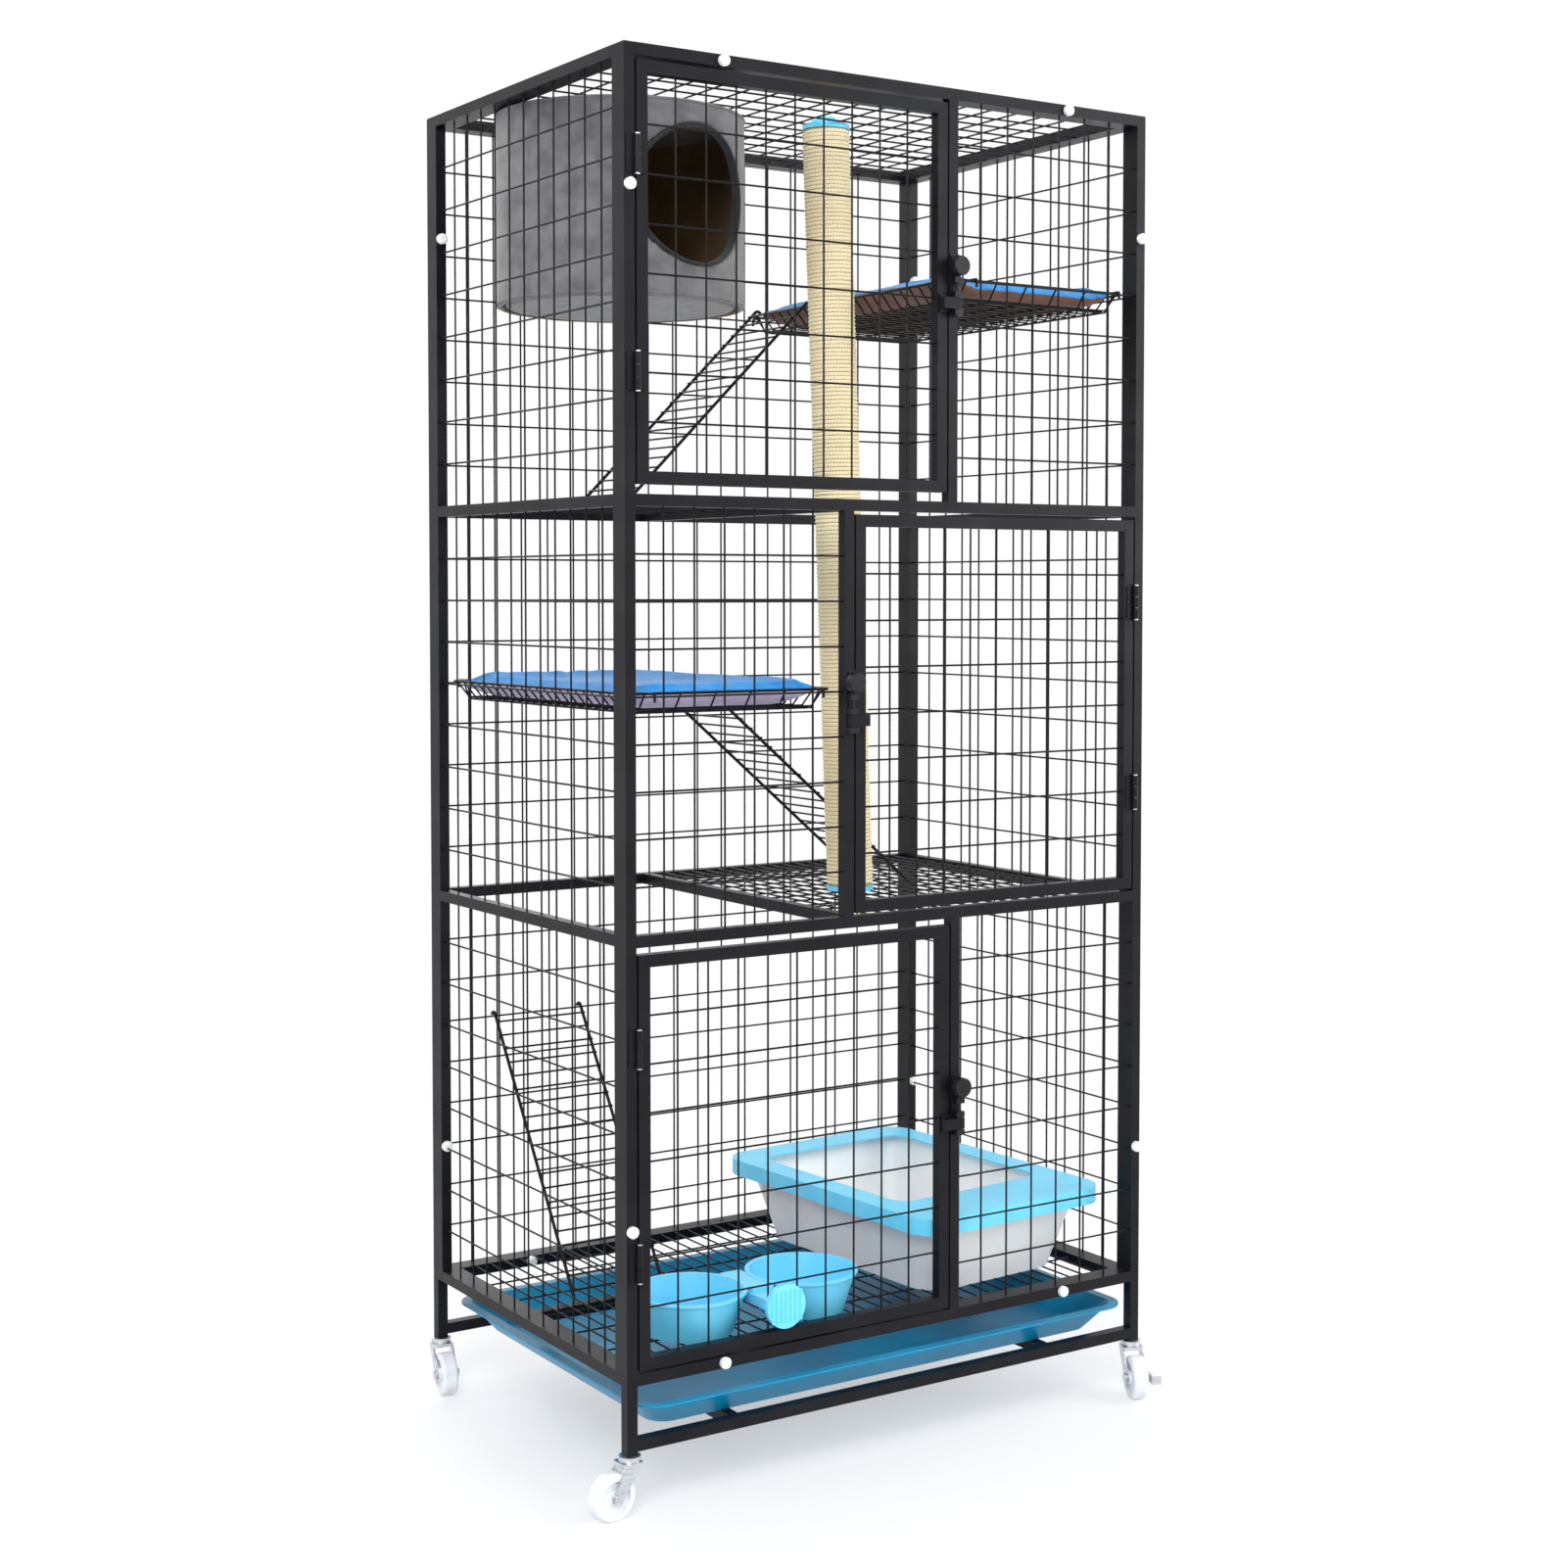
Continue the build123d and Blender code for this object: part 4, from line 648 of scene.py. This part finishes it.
def swell(mesh, voxel, frames, pressure, most):
    """Mesh after a short cloth simulation with pressure, with each point's move capped."""
    holder = bpy.data.objects.new("pad", mesh)
    bpy.context.scene.collection.objects.link(holder)
    remesh = holder.modifiers.new("voxels", "REMESH")
    remesh.mode = "VOXEL"
    remesh.voxel_size = voxel
    seen = holder.evaluated_get(bpy.context.evaluated_depsgraph_get())
    even = bpy.data.meshes.new_from_object(seen)
    bpy.data.objects.remove(holder)
    start = np.empty(len(even.vertices) * 3)
    even.vertices.foreach_get("co", start)
    pad = bpy.data.objects.new("pad", even)
    bpy.context.scene.collection.objects.link(pad)
    cloth = pad.modifiers.new("cloth", "CLOTH")
    cloth.settings.use_pressure = True
    cloth.settings.uniform_pressure_force = pressure
    cloth.settings.tension_stiffness = 12
    cloth.settings.bending_stiffness = 0.4
    cloth.settings.effector_weights.gravity = 0
    cloth.point_cache.frame_start = 1
    cloth.point_cache.frame_end = frames
    for moment in range(1, frames + 1):
        bpy.context.scene.frame_set(moment)
    seen = pad.evaluated_get(bpy.context.evaluated_depsgraph_get())
    swollen = bpy.data.meshes.new_from_object(seen)
    bpy.data.objects.remove(pad)
    bpy.context.scene.frame_set(1)
    end = np.empty(len(swollen.vertices) * 3)
    swollen.vertices.foreach_get("co", end)
    move = (end - start).reshape(-1, 3)
    length = np.linalg.norm(move, axis=1, keepdims=True)
    scale = np.minimum(1, most / np.maximum(length, 1e-9))
    swollen.vertices.foreach_set("co", (start.reshape(-1, 3) + move * scale).ravel())
    swollen.update()
    return swollen


def fleece_cushion(shelf, under, curls):
    """Cushion in a shelf: blue on top, with a second colour below and round the side."""
    node = shelf + "_cushion"
    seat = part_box(node)[0][2]
    left = shelf_lefts[shelf]
    pad_low = (left + pad_margin, shelf_front + pad_margin)
    pad_high = (left + shelf_size[0] - pad_margin, shelf_front + shelf_size[1] - pad_margin)
    mesh = pad_mesh(node, pad_low, pad_high, seat + 0.001, curls)
    mesh = swell(mesh, 0.006, 20, 3.0, 0.006)
    mesh.materials.clear()
    mesh.materials.append(blue_fleece)
    mesh.materials.append(under)
    for face in mesh.polygons:
        face.use_smooth = True
        face.material_index = 0 if face.normal.z > 0.25 else 1
    for vertex in mesh.vertices:
        vertex.co.z = max(vertex.co.z, seat - 0.0002)
    cushion = add_piece(shelf + "_pad", mesh, "root", [node])
    smooth = cushion.modifiers.new("smooth", "SUBSURF")
    smooth.levels = smooth.render_levels = 1


fleece_cushion("upper", brown_fleece, (0.029, 0.026, 0.012, 0.030))
fleece_cushion("middle", lilac_fleece, (0.016, 0.026, 0.020, 0.024))


# Scratching post: one long rope wound round the leaning tube
def rope_mesh(name, low, high, outer, rope_radius, sides=6, steps=30):
    """Rope wound in touching turns round a leaning axis from the foot to the top."""
    height = high[2] - low[2]
    turns = int((height - 2 * rope_radius) / (2 * rope_radius * 0.985))
    foot_middle = np.array([high[0] - outer, high[1] - outer])
    top_middle = np.array([low[0] + outer, low[1] + outer])
    count = turns * steps + 1
    share = np.arange(count) / (count - 1)
    angle = share * turns * 2 * math.pi
    middle = foot_middle + (top_middle - foot_middle) * share[:, None]
    rng = np.random.default_rng(7)
    wobble = np.interp(share, np.linspace(0, 1, turns * 3), rng.normal(0, 0.00018, turns * 3))
    z = low[2] + rope_radius + (height - 2 * rope_radius) * share + wobble
    radial = np.stack([np.cos(angle), np.sin(angle)], 1)
    rings = []
    for side in range(sides):
        turn = 2 * math.pi * side / sides
        reach = outer - rope_radius + rope_radius * math.cos(turn) + wobble
        xy = middle + radial * reach[:, None]
        rings.append(np.column_stack([xy, z + rope_radius * math.sin(turn)]))
    vertices = np.stack(rings, 1).reshape(-1, 3)
    faces = []
    for i in range(count - 1):
        for side in range(sides):
            other = (side + 1) % sides
            ring, following = i * sides, (i + 1) * sides
            faces.append((ring + side, following + side, following + other, ring + other))
    faces.append(tuple(range(sides)))
    faces.append(tuple(reversed(range((count - 1) * sides, count * sides))))
    mesh = bpy.data.meshes.new(name)
    mesh.from_pydata(vertices.tolist(), [], faces)
    layer = mesh.uv_layers.new(name="rope")
    step_length = 2 * math.pi * outer / steps
    for face in mesh.polygons[:(count - 1) * sides]:
        ring, side = divmod(face.index, sides)
        for loop, (dx, dy) in zip(face.loop_indices, ((0, 0), (1, 0), (1, 1), (0, 1))):
            layer.data[loop].uv = ((ring + dx) * step_length, (side + dy) / sides)
        face.use_smooth = True
    mesh.materials.append(sisal)
    return mesh


def turn_faces_out(mesh):
    """Turns a mesh's faces outwards."""
    whole = bmesh.new()
    whole.from_mesh(mesh)
    bmesh.ops.recalc_face_normals(whole, faces=whole.faces)
    whole.to_mesh(mesh)
    whole.free()


wrap_low, wrap_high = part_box("sisal_wrap")
post_radius = 0.036
rope_radius = 0.003
rope = rope_mesh("sisal_rope", wrap_low, wrap_high, post_radius, rope_radius)
turn_faces_out(rope)
add_piece("sisal_rope", rope, "root", ["sisal_wrap"])


# House: plush over board, with piping at its edges
def soft_copy(node, voxel, rounds, pile):
    """Copy of a node's mesh with even faces, eased edges and a little unevenness."""
    source = bmesh.new()
    source.from_mesh(nodes[node].data)
    bmesh.ops.remove_doubles(source, verts=source.verts, dist=0.00002)
    mesh = bpy.data.meshes.new(node + "_soft")
    source.to_mesh(mesh)
    source.free()
    holder = bpy.data.objects.new("soft", mesh)
    bpy.context.scene.collection.objects.link(holder)
    remesh = holder.modifiers.new("voxels", "REMESH")
    remesh.mode = "VOXEL"
    remesh.voxel_size = voxel
    ease = holder.modifiers.new("ease", "SMOOTH")
    ease.iterations = rounds
    ease.factor = 0.5
    clouds = bpy.data.textures.new("clouds", "CLOUDS")
    clouds.noise_scale = 0.05
    uneven = holder.modifiers.new("uneven", "DISPLACE")
    uneven.texture = clouds
    uneven.strength = pile
    uneven.mid_level = 0.6
    seen = holder.evaluated_get(bpy.context.evaluated_depsgraph_get())
    result = bpy.data.meshes.new_from_object(seen)
    bpy.data.objects.remove(holder)
    for face in result.polygons:
        face.use_smooth = True
    return result


wall_low, wall_high = [Vector(corner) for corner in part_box("house_wall")]
house_middle = (wall_low + wall_high) / 2
house_radius = (wall_high.x - wall_low.x) / 2
house_board = 0.012


def plush_piece(node, voxel, is_lining):
    """Soft copy of a house node, plush outside and lining inside."""
    mesh = soft_copy(node, voxel, 4, 0.0012)
    mesh.materials.clear()
    mesh.materials.append(plush)
    mesh.materials.append(lining)
    for face in mesh.polygons:
        face.material_index = 1 if is_lining(Vector(face.center)) else 0
    add_piece(node + "_plush", mesh, "root", [node])


def inside_wall(place):
    """True on the inner face of the round wall."""
    return (place.xy - house_middle.xy).length < house_radius - house_board * 0.6


def inside_end(place):
    """True on the faces of the top and bottom that look into the house."""
    depth = min(place.z - wall_low.z, wall_high.z - place.z)
    return depth > house_board * 0.6


plush_piece("house_wall", 0.004, inside_wall)
plush_piece("house_ends", 0.005, inside_end)
trim = soft_copy("house_trim", 0.0016, 3, 0.0003)
trim.materials.clear()
trim.materials.append(binding)
add_piece("house_binding", trim, "root", ["house_trim"])

piping_radius = 0.0022
piping_inset = 0.004
piping_reach = house_radius - 0.0008
seams = []
for z in (wall_low.z + piping_inset, wall_high.z - piping_inset):
    circle = []
    for angle in np.linspace(0, 2 * math.pi, 97)[:-1]:
        place = house_middle + Vector((math.cos(angle) * piping_reach, math.sin(angle) * piping_reach, 0))
        circle.append((place.x, place.y, z))
    seams.append(bent_wire(circle, piping_radius, plush, True))
add_piece("house_piping", joined("house_piping", seams), "root")
